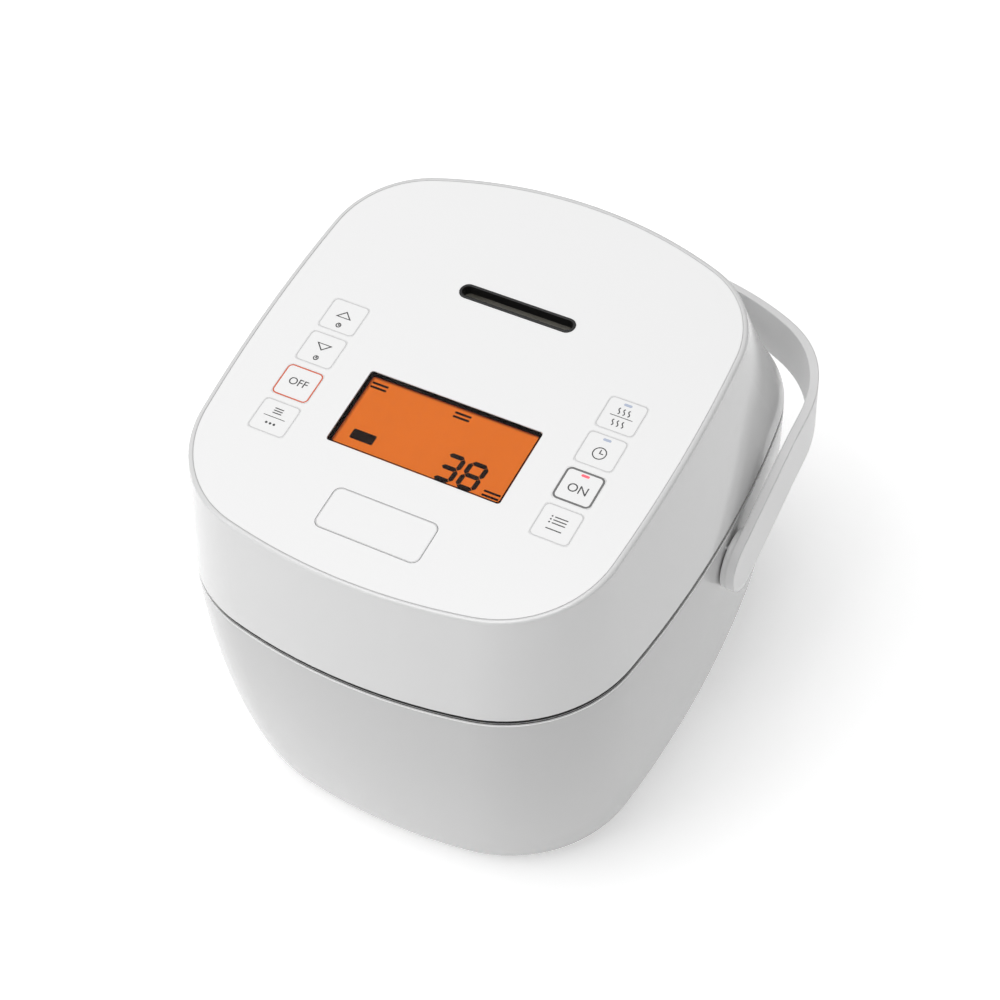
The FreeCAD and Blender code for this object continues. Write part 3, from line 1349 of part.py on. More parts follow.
def make_solenoid_plunger():
    return plunger_rod(PLUNGER_RADIUS, SOLENOID_FACE - PLUNGER_IN, SOLENOID_FACE + PLUNGER_OUT)


def make_valve_housing():
    floor = SOLENOID_FACE + PLUNGER_OUT + PLUNGER_TRAVEL + PLUNGER_END_GAP
    bore = plunger_rod(PLUNGER_RADIUS + PLUNGER_SEAT_GAP, VALVE_X - THROUGH, floor)
    return valve_block(VALVE_X, VALVE_X + VALVE_LENGTH).cut(bore)


KEY_NAMES = {
    -1: ("key_up", "key_down", "key_cancel", "key_menu"),
    1: ("key_keep_warm", "key_timer", "key_cook", "key_course"),
}

PIECES = {
    "body_shell": make_body_shell,
    "base_cover": make_base_cover,
    "rubber_feet": make_rubber_feet,
    "base_screws": make_base_screws,
    "body_rim": make_body_rim,
    "rim_screws": make_rim_screws,
    "inner_pot": make_inner_pot,
    "pot_well": make_pot_well,
    "induction_coil": make_induction_coil,
    "coil_holder": make_coil_holder,
    "ferrite_bars": make_ferrite_bars,
    "side_heater": make_side_heater,
    "sensor_holder": make_sensor_holder,
    "sensor_cap": make_sensor_cap,
    "sensor_spring": make_sensor_spring,
    "fan_frame": make_fan_frame,
    "fan_rotor": make_fan_rotor,
    "power_board": make_power_board,
    "heat_sink": make_heat_sink,
    "board_components": make_board_components,
    "power_inlet": make_power_inlet,
    "inlet_pins": make_inlet_pins,
    "carry_handle": make_carry_handle,
    "handle_pins": make_handle_pins,
    "lid_shell": make_lid_shell,
    "lid_base": make_lid_base,
    "lid_screws": make_lid_screws,
    "lid_heater": make_lid_heater,
    "inner_lid": make_inner_lid,
    "lid_gasket": make_lid_gasket,
    "top_panel": make_top_panel,
    "display_window": make_display_window,
    "display_frame": make_display_frame,
    "display_module": make_display_module,
    "control_board": make_control_board,
    "board_screws": make_board_screws,
    "key_switches": make_key_switches,
    "release_button": make_release_button,
    "latch_lever": make_latch_lever,
    "latch_pin": make_latch_pin,
    "latch_spring": make_latch_spring,
    "latch_catch": make_latch_catch,
    "hinge_brackets": make_hinge_brackets,
    "hinge_arms": make_hinge_arms,
    "hinge_pin": make_hinge_pin,
    "hinge_cover": make_hinge_cover,
    "lid_spring": make_lid_spring,
    "vent_bezel": make_vent_bezel,
    "steam_duct": make_steam_duct,
    "pressure_solenoid": make_pressure_solenoid,
    "solenoid_plunger": make_solenoid_plunger,
    "valve_housing": make_valve_housing,
}


def main():
    os.makedirs("parts", exist_ok=True)
    shapes = {name: make() for name, make in PIECES.items()}
    for side, names in KEY_NAMES.items():
        for name, y in zip(names, KEY_YS):
            shapes[name] = make_key(side * KEY_X, y)
    for name, shape in shapes.items():
        shape.exportStep(f"parts/{name}.step")
        print(name, "solids", len(shape.Solids), "valid", shape.isValid(), "volume", round(shape.Volume, 1))


main()
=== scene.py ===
# %% [markdown]
# # A white rice cooker in the studio
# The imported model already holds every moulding, pin and board at its real size. This lesson dresses it:
# finishes for the plastics and metals, marks on the keys, a backlit display, soft light and a camera.
# Nothing here changes a size.

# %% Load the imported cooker
import math

import bmesh
import bpy
from mathutils import Matrix, Vector, geometry


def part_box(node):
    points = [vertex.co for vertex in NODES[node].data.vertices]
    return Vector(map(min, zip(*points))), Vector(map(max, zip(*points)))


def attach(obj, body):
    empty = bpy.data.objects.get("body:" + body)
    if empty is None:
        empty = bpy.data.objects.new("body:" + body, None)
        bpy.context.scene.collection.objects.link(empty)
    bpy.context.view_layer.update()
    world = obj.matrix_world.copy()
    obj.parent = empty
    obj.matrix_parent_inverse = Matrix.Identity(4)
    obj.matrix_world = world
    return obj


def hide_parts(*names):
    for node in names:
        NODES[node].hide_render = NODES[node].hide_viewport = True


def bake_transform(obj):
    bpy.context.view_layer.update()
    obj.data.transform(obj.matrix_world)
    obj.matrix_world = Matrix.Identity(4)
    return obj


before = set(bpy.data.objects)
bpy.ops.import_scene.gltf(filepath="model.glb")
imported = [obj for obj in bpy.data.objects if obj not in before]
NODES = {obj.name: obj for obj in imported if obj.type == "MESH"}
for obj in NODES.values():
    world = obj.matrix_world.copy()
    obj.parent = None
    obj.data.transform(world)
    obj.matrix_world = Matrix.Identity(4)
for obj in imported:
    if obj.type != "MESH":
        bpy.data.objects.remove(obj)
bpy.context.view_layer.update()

# %% [markdown]
# ## Building blocks for the finishes
# A finish is a tree of shader nodes. Making nodes by hand takes a line per node and a line per wire, so a
# few small helpers keep the later cells short: one adds a node with its settings, another makes a
# reusable group with named sockets. A group is built once and then placed in many materials, each with
# its own values.

# %% Node helpers
COLOUR = "NodeSocketColor"
NUMBER = "NodeSocketFloat"
VECTOR = "NodeSocketVector"


def add(tree, kind, values=None, **settings):
    """Adds a shader node, sets its properties, and fills or wires its inputs."""
    node = tree.nodes.new("ShaderNode" + kind)
    for label, setting in settings.items():
        setattr(node, label, setting)
    for label, value in (values or {}).items():
        if isinstance(value, bpy.types.NodeSocket):
            tree.links.new(value, node.inputs[label])
        else:
            node.inputs[label].default_value = value
    return node


def new_group(name, inputs, outputs):
    """Makes a node group, and gives its tree, the sockets to read from and the sockets to feed."""
    tree = bpy.data.node_groups.new(name, "ShaderNodeTree")
    for label, kind, value in inputs:
        tree.interface.new_socket(label, in_out="INPUT", socket_type=kind).default_value = value
    for label, kind in outputs:
        tree.interface.new_socket(label, in_out="OUTPUT", socket_type=kind)
    return tree, tree.nodes.new("NodeGroupInput").outputs, tree.nodes.new("NodeGroupOutput").inputs


def math_node(tree, operation, a, b):
    return add(tree, "Math", {0: a, 1: b}, operation=operation).outputs[0]


def feed(tree, source, target):
    tree.links.new(source, target)


print("helpers ready")

# %% [markdown]
# ## Moulded skin
# Injection-moulded plastic is never one flat colour. A moulding cools unevenly, so the tone drifts a
# little over a hand's width, and the mould's own polish leaves a fine orange-peel grain. A texture
# photograph could show that, but noise in object space needs no unwrapping and moves with the piece. One
# group gives the drift, the grain and a roughness that follows the grain.

# %% Moulded skin group
DRIFT_SCALE = 14.0
DRIFT_DETAIL = 2.0
GRAIN_DETAIL = 3.0
NOISE_MIDDLE = 0.5


def build_moulded_skin():
    tree, given, out = new_group(
        "Moulded Skin",
        [("Colour", COLOUR, (0.8, 0.8, 0.8, 1)), ("Drift", NUMBER, 0.04), ("Grain", NUMBER, 700.0),
         ("Roughness", NUMBER, 0.3), ("Spread", NUMBER, 0.06)],
        [("Colour", COLOUR), ("Roughness", NUMBER), ("Height", NUMBER)],
    )
    place = add(tree, "TexCoord").outputs["Object"]
    drift = add(tree, "TexNoise", {
        "Vector": place, "Scale": DRIFT_SCALE, "Detail": DRIFT_DETAIL}).outputs["Fac"]
    grain = add(tree, "TexNoise", {
        "Vector": place, "Scale": given["Grain"], "Detail": GRAIN_DETAIL}).outputs["Fac"]
    centred = math_node(tree, "SUBTRACT", drift, NOISE_MIDDLE)
    value = math_node(tree, "ADD", math_node(tree, "MULTIPLY", centred, given["Drift"]), 1.0)
    tone = add(tree, "HueSaturation", {"Color": given["Colour"], "Value": value})
    rough = math_node(tree, "MULTIPLY", math_node(tree, "SUBTRACT", grain, NOISE_MIDDLE), given["Spread"])
    feed(tree, tone.outputs["Color"], out["Colour"])
    feed(tree, math_node(tree, "ADD", rough, given["Roughness"]), out["Roughness"])
    feed(tree, grain, out["Height"])
    return tree


MOULDED_SKIN = build_moulded_skin()
print("group", MOULDED_SKIN.name, [i.name for i in MOULDED_SKIN.interface.items_tree])

# %% [markdown]
# ## Softened edges
# A moulded edge has a small radius that catches a line of light, and it is where hands rub the surface.
# The radius could be cut into the mesh, but the bevel node does it without touching a shape: it bends the
# normal near an edge, so the light sees a radius. How far it bends it is also the mask for a lighter edge
# colour, which is partly wear and partly a painted highlight along the edge.

# %% Softened edge group
BEVEL_SAMPLES = 6


def build_soft_edge():
    tree, given, out = new_group(
        "Soft Edge",
        [("Radius", NUMBER, 0.0005), ("Highlight And Wear Strength", NUMBER, 0.5)],
        [("Normal", VECTOR), ("Edge Highlight And Wear", NUMBER)],
    )
    softened = add(tree, "Bevel", {"Radius": given["Radius"]}, samples=BEVEL_SAMPLES).outputs["Normal"]
    plain = add(tree, "NewGeometry").outputs["Normal"]
    same = add(tree, "VectorMath", {0: softened, 1: plain}, operation="DOT_PRODUCT").outputs["Value"]
    # The edge mask: partly wear, partly a painted highlight.
    bent = math_node(tree, "MULTIPLY", math_node(tree, "SUBTRACT", 1.0, same), given["Highlight And Wear Strength"])
    feed(tree, softened, out["Normal"])
    feed(tree, add(tree, "Clamp", {"Value": bent}).outputs[0], out["Edge Highlight And Wear"])
    return tree


SOFT_EDGE = build_soft_edge()
print("group", SOFT_EDGE.name)

# %% [markdown]
# ## Drawn metal
# Springs, pins and sheets inside the cooker are drawn or rolled, which leaves fine lines along one
# direction. Stretching noise along X gives such lines. They change the colour a little and the roughness
# more, and raise a faint relief.

# %% Drawn metal group
LINE_STRETCH = (0.04, 1.0, 1.0)
LINE_DETAIL = 4.0


def build_drawn_metal():
    tree, given, out = new_group(
        "Drawn Metal",
        [("Colour", COLOUR, (0.6, 0.6, 0.6, 1)), ("Lines", NUMBER, 900.0), ("Contrast", NUMBER, 0.25),
         ("Roughness", NUMBER, 0.3)],
        [("Colour", COLOUR), ("Roughness", NUMBER), ("Height", NUMBER)],
    )
    place = add(tree, "TexCoord").outputs["Object"]
    along = add(tree, "Mapping", {"Vector": place, "Scale": LINE_STRETCH}).outputs["Vector"]
    lines = add(tree, "TexNoise", {
        "Vector": along, "Scale": given["Lines"], "Detail": LINE_DETAIL}).outputs["Fac"]
    offset = math_node(tree, "SUBTRACT", lines, NOISE_MIDDLE)
    centred = math_node(tree, "MULTIPLY", offset, given["Contrast"])
    value = math_node(tree, "ADD", centred, 1.0)
    tone = add(tree, "HueSaturation", {"Color": given["Colour"], "Value": value})
    feed(tree, tone.outputs["Color"], out["Colour"])
    feed(tree, math_node(tree, "ADD", centred, given["Roughness"]), out["Roughness"])
    feed(tree, lines, out["Height"])
    return tree


DRAWN_METAL = build_drawn_metal()
print("group", DRAWN_METAL.name)

# %% [markdown]
# ## Two makers of finishes
# Almost every finish here is either a moulded plastic or a drawn metal, so two functions put the groups
# together with one Principled shader. What is the same all over a surface, such as the coat or the gloss,
# is set on the shader itself.

# %% Finish makers
EDGE_HIGHLIGHT_AND_WEAR = 0.8
COAT_ROUGHNESS = 0.08
METAL_EDGE = 0.0003
METAL_RUB = 0.5


def new_finish(name):
    material = bpy.data.materials.new(name)
    material.use_nodes = True
    tree = material.node_tree
    return material, tree, tree.nodes["Principled BSDF"]


def placed(tree, group, values):
    return add(tree, "Group", values, node_tree=group)


def relief(tree, height, depth, normal=None):
    bump = add(tree, "Bump", {"Height": height, "Distance": depth, "Strength": 1.0})
    if normal:
        feed(tree, normal, bump.inputs["Normal"])
    return bump.outputs["Normal"]


def mixed(tree, factor, socket, colour):
    """Blends the colour in a socket towards a fixed colour."""
    node = add(tree, "Mix", {0: factor, 6: socket, 7: (*colour, 1)}, data_type="RGBA")
    return node.outputs[2]


def moulded(name, colour, rough, grain=700.0, depth=1e-5, drift=0.05, edge=0.0005, edge_highlight_and_wear=None, coat=0.0,
            gloss=0.5):
    material, tree, shader = new_finish(name)
    skin = placed(tree, MOULDED_SKIN, {
        "Colour": (*colour, 1), "Drift": drift, "Grain": grain, "Roughness": rough})
    soft = placed(tree, SOFT_EDGE, {"Radius": edge, "Highlight And Wear Strength": EDGE_HIGHLIGHT_AND_WEAR})
    # Edges turn to the lighter edge colour: wear, and a painted highlight.
    highlighted_and_worn = mixed(tree, soft.outputs["Edge Highlight And Wear"], skin.outputs["Colour"], edge_highlight_and_wear or colour)
    normal = relief(tree, skin.outputs["Height"], depth, soft.outputs["Normal"])
    feed(tree, highlighted_and_worn, shader.inputs["Base Color"])
    feed(tree, skin.outputs["Roughness"], shader.inputs["Roughness"])
    feed(tree, normal, shader.inputs["Normal"])
    shader.inputs["Coat Weight"].default_value = coat
    shader.inputs["Coat Roughness"].default_value = COAT_ROUGHNESS
    shader.inputs["Specular IOR Level"].default_value = gloss
    return material


def drawn(name, colour, rough, lines=900.0, contrast=0.25, depth=2e-5):
    material, tree, shader = new_finish(name)
    metal = placed(tree, DRAWN_METAL, {
        "Colour": (*colour, 1), "Lines": lines, "Contrast": contrast, "Roughness": rough})
    soft = placed(tree, SOFT_EDGE, {"Radius": METAL_EDGE, "Highlight And Wear Strength": METAL_RUB})
    normal = relief(tree, metal.outputs["Height"], depth, soft.outputs["Normal"])
    feed(tree, metal.outputs["Colour"], shader.inputs["Base Color"])
    feed(tree, metal.outputs["Roughness"], shader.inputs["Roughness"])
    feed(tree, normal, shader.inputs["Normal"])
    shader.inputs["Metallic"].default_value = 1.0
    return material


def grey(tone):
    return (tone, tone, tone)


print("finish makers ready")

# %% [markdown]
# ## White outer mouldings
# The body, the lid and the handle are one white plastic, glossier on the body and lid than on the handle.
# The body's colour is set darker than the lid's as painted shade, and the handle's lighter as painted
# light. The top sheet and its keys are a brighter, flatter white, because they are one printed film over
# the panel. Very low relief keeps the gloss calm, as on the real thing. On these whites the lighter edge
# colour is a painted highlight along the edges as well as wear.

# %% White and grey plastics
LID_WHITE = moulded("lid white", grey(0.73), 0.18, grain=520.0, depth=4e-6, drift=0.02, edge=0.0009,
                    edge_highlight_and_wear=grey(0.92), coat=0.3)
# A darker copy of the lid's white: painted shade.
BODY_WHITE_PAINTED_SHADE = moulded("body white painted shade", grey(0.59), 0.2, grain=520.0, depth=4e-6, drift=0.02, edge=0.0012,
                     edge_highlight_and_wear=grey(0.95), coat=0.15, gloss=0.3)
# A lighter copy of the lid's white: painted light.
HANDLE_WHITE_PAINTED_LIGHT = moulded("handle white painted light", grey(0.84), 0.34, grain=640.0, depth=8e-6, drift=0.03, edge=0.0012,
                       edge_highlight_and_wear=grey(0.92))
PANEL_WHITE = moulded("panel film", grey(0.92), 0.3, grain=900.0, depth=3e-6, drift=0.01, edge=0.0003,
                      edge_highlight_and_wear=grey(0.96))
# Black for the body's rim and the ring in the seam: painted shade, the shadow in the gap under the lid.
GAP_SHADOW_BLACK = moulded("gap shadow black", grey(0.01), 0.5, grain=800.0, edge_highlight_and_wear=grey(0.04), gloss=0.2)
SEAM_GREY = moulded("seam grey", grey(0.6), 0.5, grain=800.0)
BASE_GREY = moulded("base grey", grey(0.5), 0.5, grain=500.0, depth=3e-5, edge_highlight_and_wear=grey(0.6))
INNER_GREY = moulded("lid lining", (0.62, 0.62, 0.61), 0.4, grain=600.0, edge_highlight_and_wear=grey(0.7))
OUTER = (LID_WHITE, BODY_WHITE_PAINTED_SHADE, HANDLE_WHITE_PAINTED_LIGHT, PANEL_WHITE, GAP_SHADOW_BLACK, SEAM_GREY, BASE_GREY, INNER_GREY)
print("white and grey plastics", [finish.name for finish in OUTER])

# %% [markdown]
# ## Dark plastics, rubber and silicone
# The vent and the display's frame are black satin plastic, whose edges turn grey where they are worn.
# Rubber and silicone are the same kind of skin with a coarse grain and no gloss.

# %% Dark plastics and rubbers
SATIN_BLACK = moulded("satin black", (0.012, 0.012, 0.013), 0.38, grain=900.0, edge_highlight_and_wear=grey(0.09))
FRAME_BLACK = moulded("frame black", (0.008, 0.004, 0.003), 0.6, grain=900.0, edge_highlight_and_wear=(0.02, 0.01, 0.006),
                      gloss=0.1)
HEAT_PLASTIC = moulded("heat plastic", (0.66, 0.64, 0.58), 0.55, grain=300.0, depth=3e-5,
                       edge_highlight_and_wear=(0.75, 0.73, 0.68))
FOOT_RUBBER = moulded("foot rubber", grey(0.05), 0.8, grain=350.0, depth=6e-5, drift=0.2)
SEAL_SILICONE = moulded("seal silicone", (0.42, 0.42, 0.41), 0.6, grain=260.0, depth=3e-5, drift=0.1)
SWITCH_BLACK = moulded("switch black", (0.03, 0.03, 0.032), 0.55, grain=700.0, depth=2e-5)
print("dark finishes ready")

# %% [markdown]
# ## Metals
# The metals differ in colour and in how bright they are polished: steel for pins and springs, aluminium
# for the heater and heat sink, brass for the inlet's pins. One maker with other values gives them all.

# %% Metals
STEEL = drawn("drawn steel", (0.56, 0.57, 0.58), 0.3)
LID_STEEL = drawn("inner lid steel", grey(0.7), 0.32, lines=500.0, contrast=0.14, depth=1e-5)
ALUMINIUM = drawn("rolled aluminium", (0.72, 0.73, 0.74), 0.36, lines=420.0, contrast=0.18)
CONTACT_BRASS = drawn("contact brass", (0.74, 0.58, 0.3), 0.25)
SOLENOID_STEEL = drawn("plated case", (0.36, 0.37, 0.4), 0.4, contrast=0.2)
print("metals ready")

# %% [markdown]
# ## The pot's coating
# A pot for an induction cooker has a dark non-stick coat with pale mineral specks. Voronoi cells give the
# specks: only the cells with a small distance to their point turn pale, and every cell has its own
# threshold.

# %% Pot coating
SPECK_SCALE = 420.0
SPECK_SIZE = 0.28
SPECK_STRENGTH = 0.55
SPECK_PALE = (0.42, 0.4, 0.37)
COAT_RELIEF = 2e-5


def pot_coating():
    material, tree, shader = new_finish("pot coating")
    skin = placed(tree, MOULDED_SKIN, {
        "Colour": (0.035, 0.033, 0.031, 1), "Drift": 0.2, "Grain": 600.0, "Roughness": 0.36, "Spread": 0.1})
    place = add(tree, "TexCoord").outputs["Object"]
    cells = add(tree, "TexVoronoi", {"Vector": place, "Scale": SPECK_SCALE})
    apart = add(tree, "SeparateColor", {"Color": cells.outputs["Color"]}).outputs[0]
    size = math_node(tree, "MULTIPLY", apart, SPECK_SIZE)
    speck = math_node(tree, "LESS_THAN", cells.outputs["Distance"], size)
    strength = math_node(tree, "MULTIPLY", speck, SPECK_STRENGTH)
    specked = mixed(tree, strength, skin.outputs["Colour"], SPECK_PALE)
    feed(tree, specked, shader.inputs["Base Color"])
    feed(tree, skin.outputs["Roughness"], shader.inputs["Roughness"])
    feed(tree, relief(tree, skin.outputs["Height"], COAT_RELIEF), shader.inputs["Normal"])
    return material


POT_COAT = pot_coating()
print("finish", POT_COAT.name)

# %% [markdown]
# ## Copper winding, ferrite and boards
# These lie inside the body. The coil is wound in rings around the pot's axis, so a ring wave centred on
# that axis draws its turns. A board is green lacquer over copper tracks, which a brick pattern suggests
# well enough inside a case.

# %% Inner electrics
WINDING_SCALE = 110.0
WINDING_WAVER = 0.4
WINDING_RELIEF = 0.0006
WINDING_DARK = (0.16, 0.05, 0.02, 1)
WINDING_BRIGHT = (0.72, 0.3, 0.14, 1)
TRACK_SCALE = 60.0
TRACK_WIDTH = 0.03
TRACK_RELIEF = 5e-5
TRACK_COLOUR = (0.2, 0.34, 0.12, 1)
LACQUER_SHADE = 0.8


def coil_winding(centre):
    material, tree, shader = new_finish("coil winding")
    place = add(tree, "TexCoord").outputs["Object"]
    moved = add(tree, "Mapping", {
        "Vector": place, "Location": (-centre.x, -centre.y, 0)}).outputs["Vector"]
    rings = add(tree, "TexWave", {"Vector": moved, "Scale": WINDING_SCALE, "Distortion": WINDING_WAVER},
                wave_type="RINGS", rings_direction="Z").outputs["Fac"]
    ramp = add(tree, "ValToRGB", {"Fac": rings})
    ramp.color_ramp.elements[0].color = WINDING_DARK
    ramp.color_ramp.elements[1].color = WINDING_BRIGHT
    feed(tree, ramp.outputs["Color"], shader.inputs["Base Color"])
    feed(tree, relief(tree, rings, WINDING_RELIEF), shader.inputs["Normal"])
    shader.inputs["Metallic"].default_value = 0.8
    shader.inputs["Roughness"].default_value = 0.35
    return material


def circuit_board(name, lacquer):
    material, tree, shader = new_finish(name)
    place = add(tree, "TexCoord").outputs["Object"]
    shade = [c * LACQUER_SHADE for c in lacquer]
    tracks = add(tree, "TexBrick", {
        "Vector": place, "Color1": (*lacquer, 1), "Color2": (*shade, 1), "Mortar": TRACK_COLOUR,
        "Scale": TRACK_SCALE, "Mortar Size": TRACK_WIDTH})
    feed(tree, tracks.outputs["Color"], shader.inputs["Base Color"])
    feed(tree, relief(tree, tracks.outputs["Fac"], TRACK_RELIEF), shader.inputs["Normal"])
    shader.inputs["Roughness"].default_value = 0.4
    return material


coil_low, coil_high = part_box("induction_coil")
COIL_MIDDLE = (coil_low + coil_high) / 2
COIL_COPPER = coil_winding(COIL_MIDDLE)
BOARD_GREEN = circuit_board("board green", (0.03, 0.17, 0.07))
FERRITE = moulded("ferrite", (0.03, 0.03, 0.034), 0.7, grain=400.0, depth=5e-5, drift=0.3)
print("inner electrics around", [round(v, 4) for v in COIL_MIDDLE])

# %% [markdown]
# ## The panel's own frame
# Keys, display and vent lie in a plane that leans towards the user. It is simplest to measure and draw in
# that plane: u runs to the right, v up the slope, and w out of the panel. A node's extent in this frame
# comes from its vertices.

# %% Panel frame
PANEL_LEAN = math.radians(8.42)
PANEL_UP = Vector((0, math.cos(PANEL_LEAN), math.sin(PANEL_LEAN)))
PANEL_OUT = Vector((0, -math.sin(PANEL_LEAN), math.cos(PANEL_LEAN)))
PANEL_TURN = Matrix((Vector((1, 0, 0)), PANEL_UP, PANEL_OUT)).transposed()
MM = 0.001


def panel_points(node):
    return [PANEL_TURN.transposed() @ v.co for v in NODES[node].data.vertices]


def panel_extent(node):
    """Lowest and highest (u, v, w) of a node in the panel's frame, in metres."""
    points = panel_points(node)
    return [Vector(pick(p[i] for p in points) for i in range(3)) for pick in (min, max)]


def panel_matrix(u, v, w):
    """Places a drawing in millimetres on the panel: its origin at (u, v), w out of the surface."""
    spot = Matrix.Translation(PANEL_TURN @ Vector((u, v, w)))
    return spot @ PANEL_TURN.to_4x4() @ Matrix.Scale(MM, 4)


PANEL_FACE = panel_extent("top_panel")[1].z
print("panel face", round(PANEL_FACE, 5))

# %% [markdown]
# ## Drawing marks as thin solids
# A printed mark could be painted in the shader, but then it needs a mask for every shape. A thin solid is
# easier to see in other programs and keeps its place when a key is pressed. Each mark is a closed prism
# or ring, a hair above the surface, drawn with bmesh from a loop of points.

# %% Mark builders
MARK_HEIGHT = 0.07
MARK_SINK = 0.02
ARC_STEPS = 6
CIRCLE_STEPS = 40
MITRE_LIMIT = 0.3


def prism(bm, loop, low=-MARK_SINK, high=MARK_HEIGHT):
    bottom = [bm.verts.new((x, y, low)) for x, y in loop]
    top = [bm.verts.new((x, y, high)) for x, y in loop]
    bm.faces.new(reversed(bottom))
    bm.faces.new(top)
    for i in range(len(loop)):
        j = (i + 1) % len(loop)
        bm.faces.new((bottom[i], bottom[j], top[j], top[i]))


def close_rows(bm, rows):
    """Joins closed loops of vertices, each to the next and the last to the first."""
    count = len(rows[0])
    for i in range(count):
        j = (i + 1) % count
        for a, b in zip(rows, rows[1:] + rows[:1]):
            bm.faces.new((a[i], a[j], b[j], b[i]))


def band(bm, outer, inner, low=-MARK_SINK, high=MARK_HEIGHT):
    """A closed ring between two loops that have the same number of points."""
    corners = ((outer, low), (outer, high), (inner, high), (inner, low))
    close_rows(bm, [[bm.verts.new((x, y, z)) for x, y in loop] for loop, z in corners])


def rounded(width, depth, corner, steps=ARC_STEPS):
    """A rectangle with round corners about the origin, counter-clockwise."""
    loop = []
    for sx, sy, start in ((1, 1, 0), (-1, 1, 90), (-1, -1, 180), (1, -1, 270)):
        cx = sx * (width / 2 - corner)
        cy = sy * (depth / 2 - corner)
        for k in range(steps + 1):
            a = math.radians(start + 90 * k / steps)
            loop.append((cx + corner * math.cos(a), cy + corner * math.sin(a)))
    return loop


def circle(radius, steps=CIRCLE_STEPS):
    angles = [2 * math.pi * k / steps for k in range(steps)]
    return [(radius * math.cos(a), radius * math.sin(a)) for a in angles]


def ribbon(path, width):
    """An open line of points widened to a strip."""
    left = []
    right = []
    for i, p in enumerate(path):
        a = Vector(path[max(i - 1, 0)])
        b = Vector(path[min(i + 1, len(path) - 1)])
        along = (b - a).normalized()
        before = (Vector(p) - a).normalized() if i else along
        half = width / 2 / max(MITRE_LIMIT, before.dot(along))
        left.append((p[0] - along.y * half, p[1] + along.x * half))
        right.append((p[0] + along.y * half, p[1] - along.x * half))
    return left[::-1] + right


def shifted(loop, dx, dy):
    return [(x + dx, y + dy) for x, y in loop]


print("mark builders ready")

# %% [markdown]
# ## From drawing to piece
# A drawing becomes an object once: its faces are turned outwards, it is moved to its place and it takes a
# finish. Most pieces then ride on one body, so that they follow it at every pose.


def make_piece(name, bm, matrix, finish):
    """Turns a drawing into an object with a finish."""
    bmesh.ops.recalc_face_normals(bm, faces=bm.faces)
    bmesh.ops.transform(bm, matrix=matrix, verts=bm.verts)
    mesh = bpy.data.meshes.new(name)
    bm.to_mesh(mesh)
    bm.free()
    mesh.materials.append(finish)
    piece = bpy.data.objects.new(name, mesh)
    bpy.context.scene.collection.objects.link(piece)
    return piece


def finish_piece(name, bm, matrix, finish, body):
    """Makes a piece that rides on one body."""
    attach(make_piece(name, bm, matrix, finish), body)


print("piece makers ready")

# %% [markdown]
# ## Inks and lamps
# The keys carry thin outlines: pale grey on most, red on the one that stops cooking and dark grey on the
# one that starts it. Three keys have a small lamp behind the film, and one of them is lit. An ink is the
# moulded skin with hardly any relief. The lit lamp also sends out its own colour.

# %% Inks and lamps
INK_EDGE = 0.0001
INK_RELIEF = 3e-6
LAMP_STRENGTH = 0.5


def ink(name, colour, rough, gloss=0.5):
    return moulded(name, colour, rough, edge=INK_EDGE, depth=INK_RELIEF, gloss=gloss)


def lit_lamp():
    material, tree, shader = new_finish("lamp lit")
    skin = placed(tree, MOULDED_SKIN, {
        "Colour": (0.85, 0.1, 0.14, 1), "Drift": 0.1, "Grain": 500.0, "Roughness": 0.35})
    feed(tree, skin.outputs["Colour"], shader.inputs["Base Color"])
    feed(tree, skin.outputs["Roughness"], shader.inputs["Roughness"])
    feed(tree, skin.outputs["Colour"], shader.inputs["Emission Color"])
    shader.inputs["Emission Strength"].default_value = LAMP_STRENGTH
    return material


PALE_INK = ink("pale ink", grey(0.68), 0.4)
DARK_INK = ink("dark ink", grey(0.05), 0.45)
GREY_INK = ink("grey ink", grey(0.16), 0.45)
RED_INK = ink("red ink", (0.72, 0.13, 0.06), 0.4)
LAMP_OFF = ink("lamp unlit", (0.48, 0.54, 0.68), 0.35)
LAMP_LIT = lit_lamp()
print("inks ready")

# %% [markdown]
# ## Key outlines
# On the real panel each key is a slightly raised pad with a soft line around it. The outline is a bead
# with a half-round section that follows the key's own rounded rectangle, so it catches light as an
# embossed line does. A ring of the panel's film closes the hair gap around each key, as the real film
# runs over it.

# %% Key outlines
KEYS = ("key_up", "key_down", "key_cancel", "key_menu",
        "key_keep_warm", "key_timer", "key_cook", "key_course")
KEY_CORNER = 2.2
KEY_FLANGE = 2.0
KEY_GAP = 0.3
BEAD_STEPS = 6
PLAIN_OUTLINE = (PALE_INK, 0.5, 0.06)
OUTLINES = {"key_cancel": (RED_INK, 0.75, 0.08), "key_cook": (GREY_INK, 1.0, 0.1)}
FILM_REACH = KEY_GAP + 0.1
FILM_CLEARANCE = 0.06
FILM_DEPTH = 0.6
FILM_PROUD = 0.02
KEY_PLACES = {}


def bead(bm, width, depth, corner, thick, tall):
    """A ring with a half-round section along a rounded rectangle."""
    rows = []
    for k in range(BEAD_STEPS + 1):
        a = math.pi * k / BEAD_STEPS
        grow = thick / 2 * math.cos(a)
        loop = rounded(width + 2 * grow, depth + 2 * grow, corner + grow)
        rows.append([bm.verts.new((x, y, tall * math.sin(a) - MARK_SINK)) for x, y in loop])
    close_rows(bm, rows)


def key_loop(width, depth, wider):
    return rounded(width + 2 * wider, depth + 2 * wider, KEY_CORNER + wider)


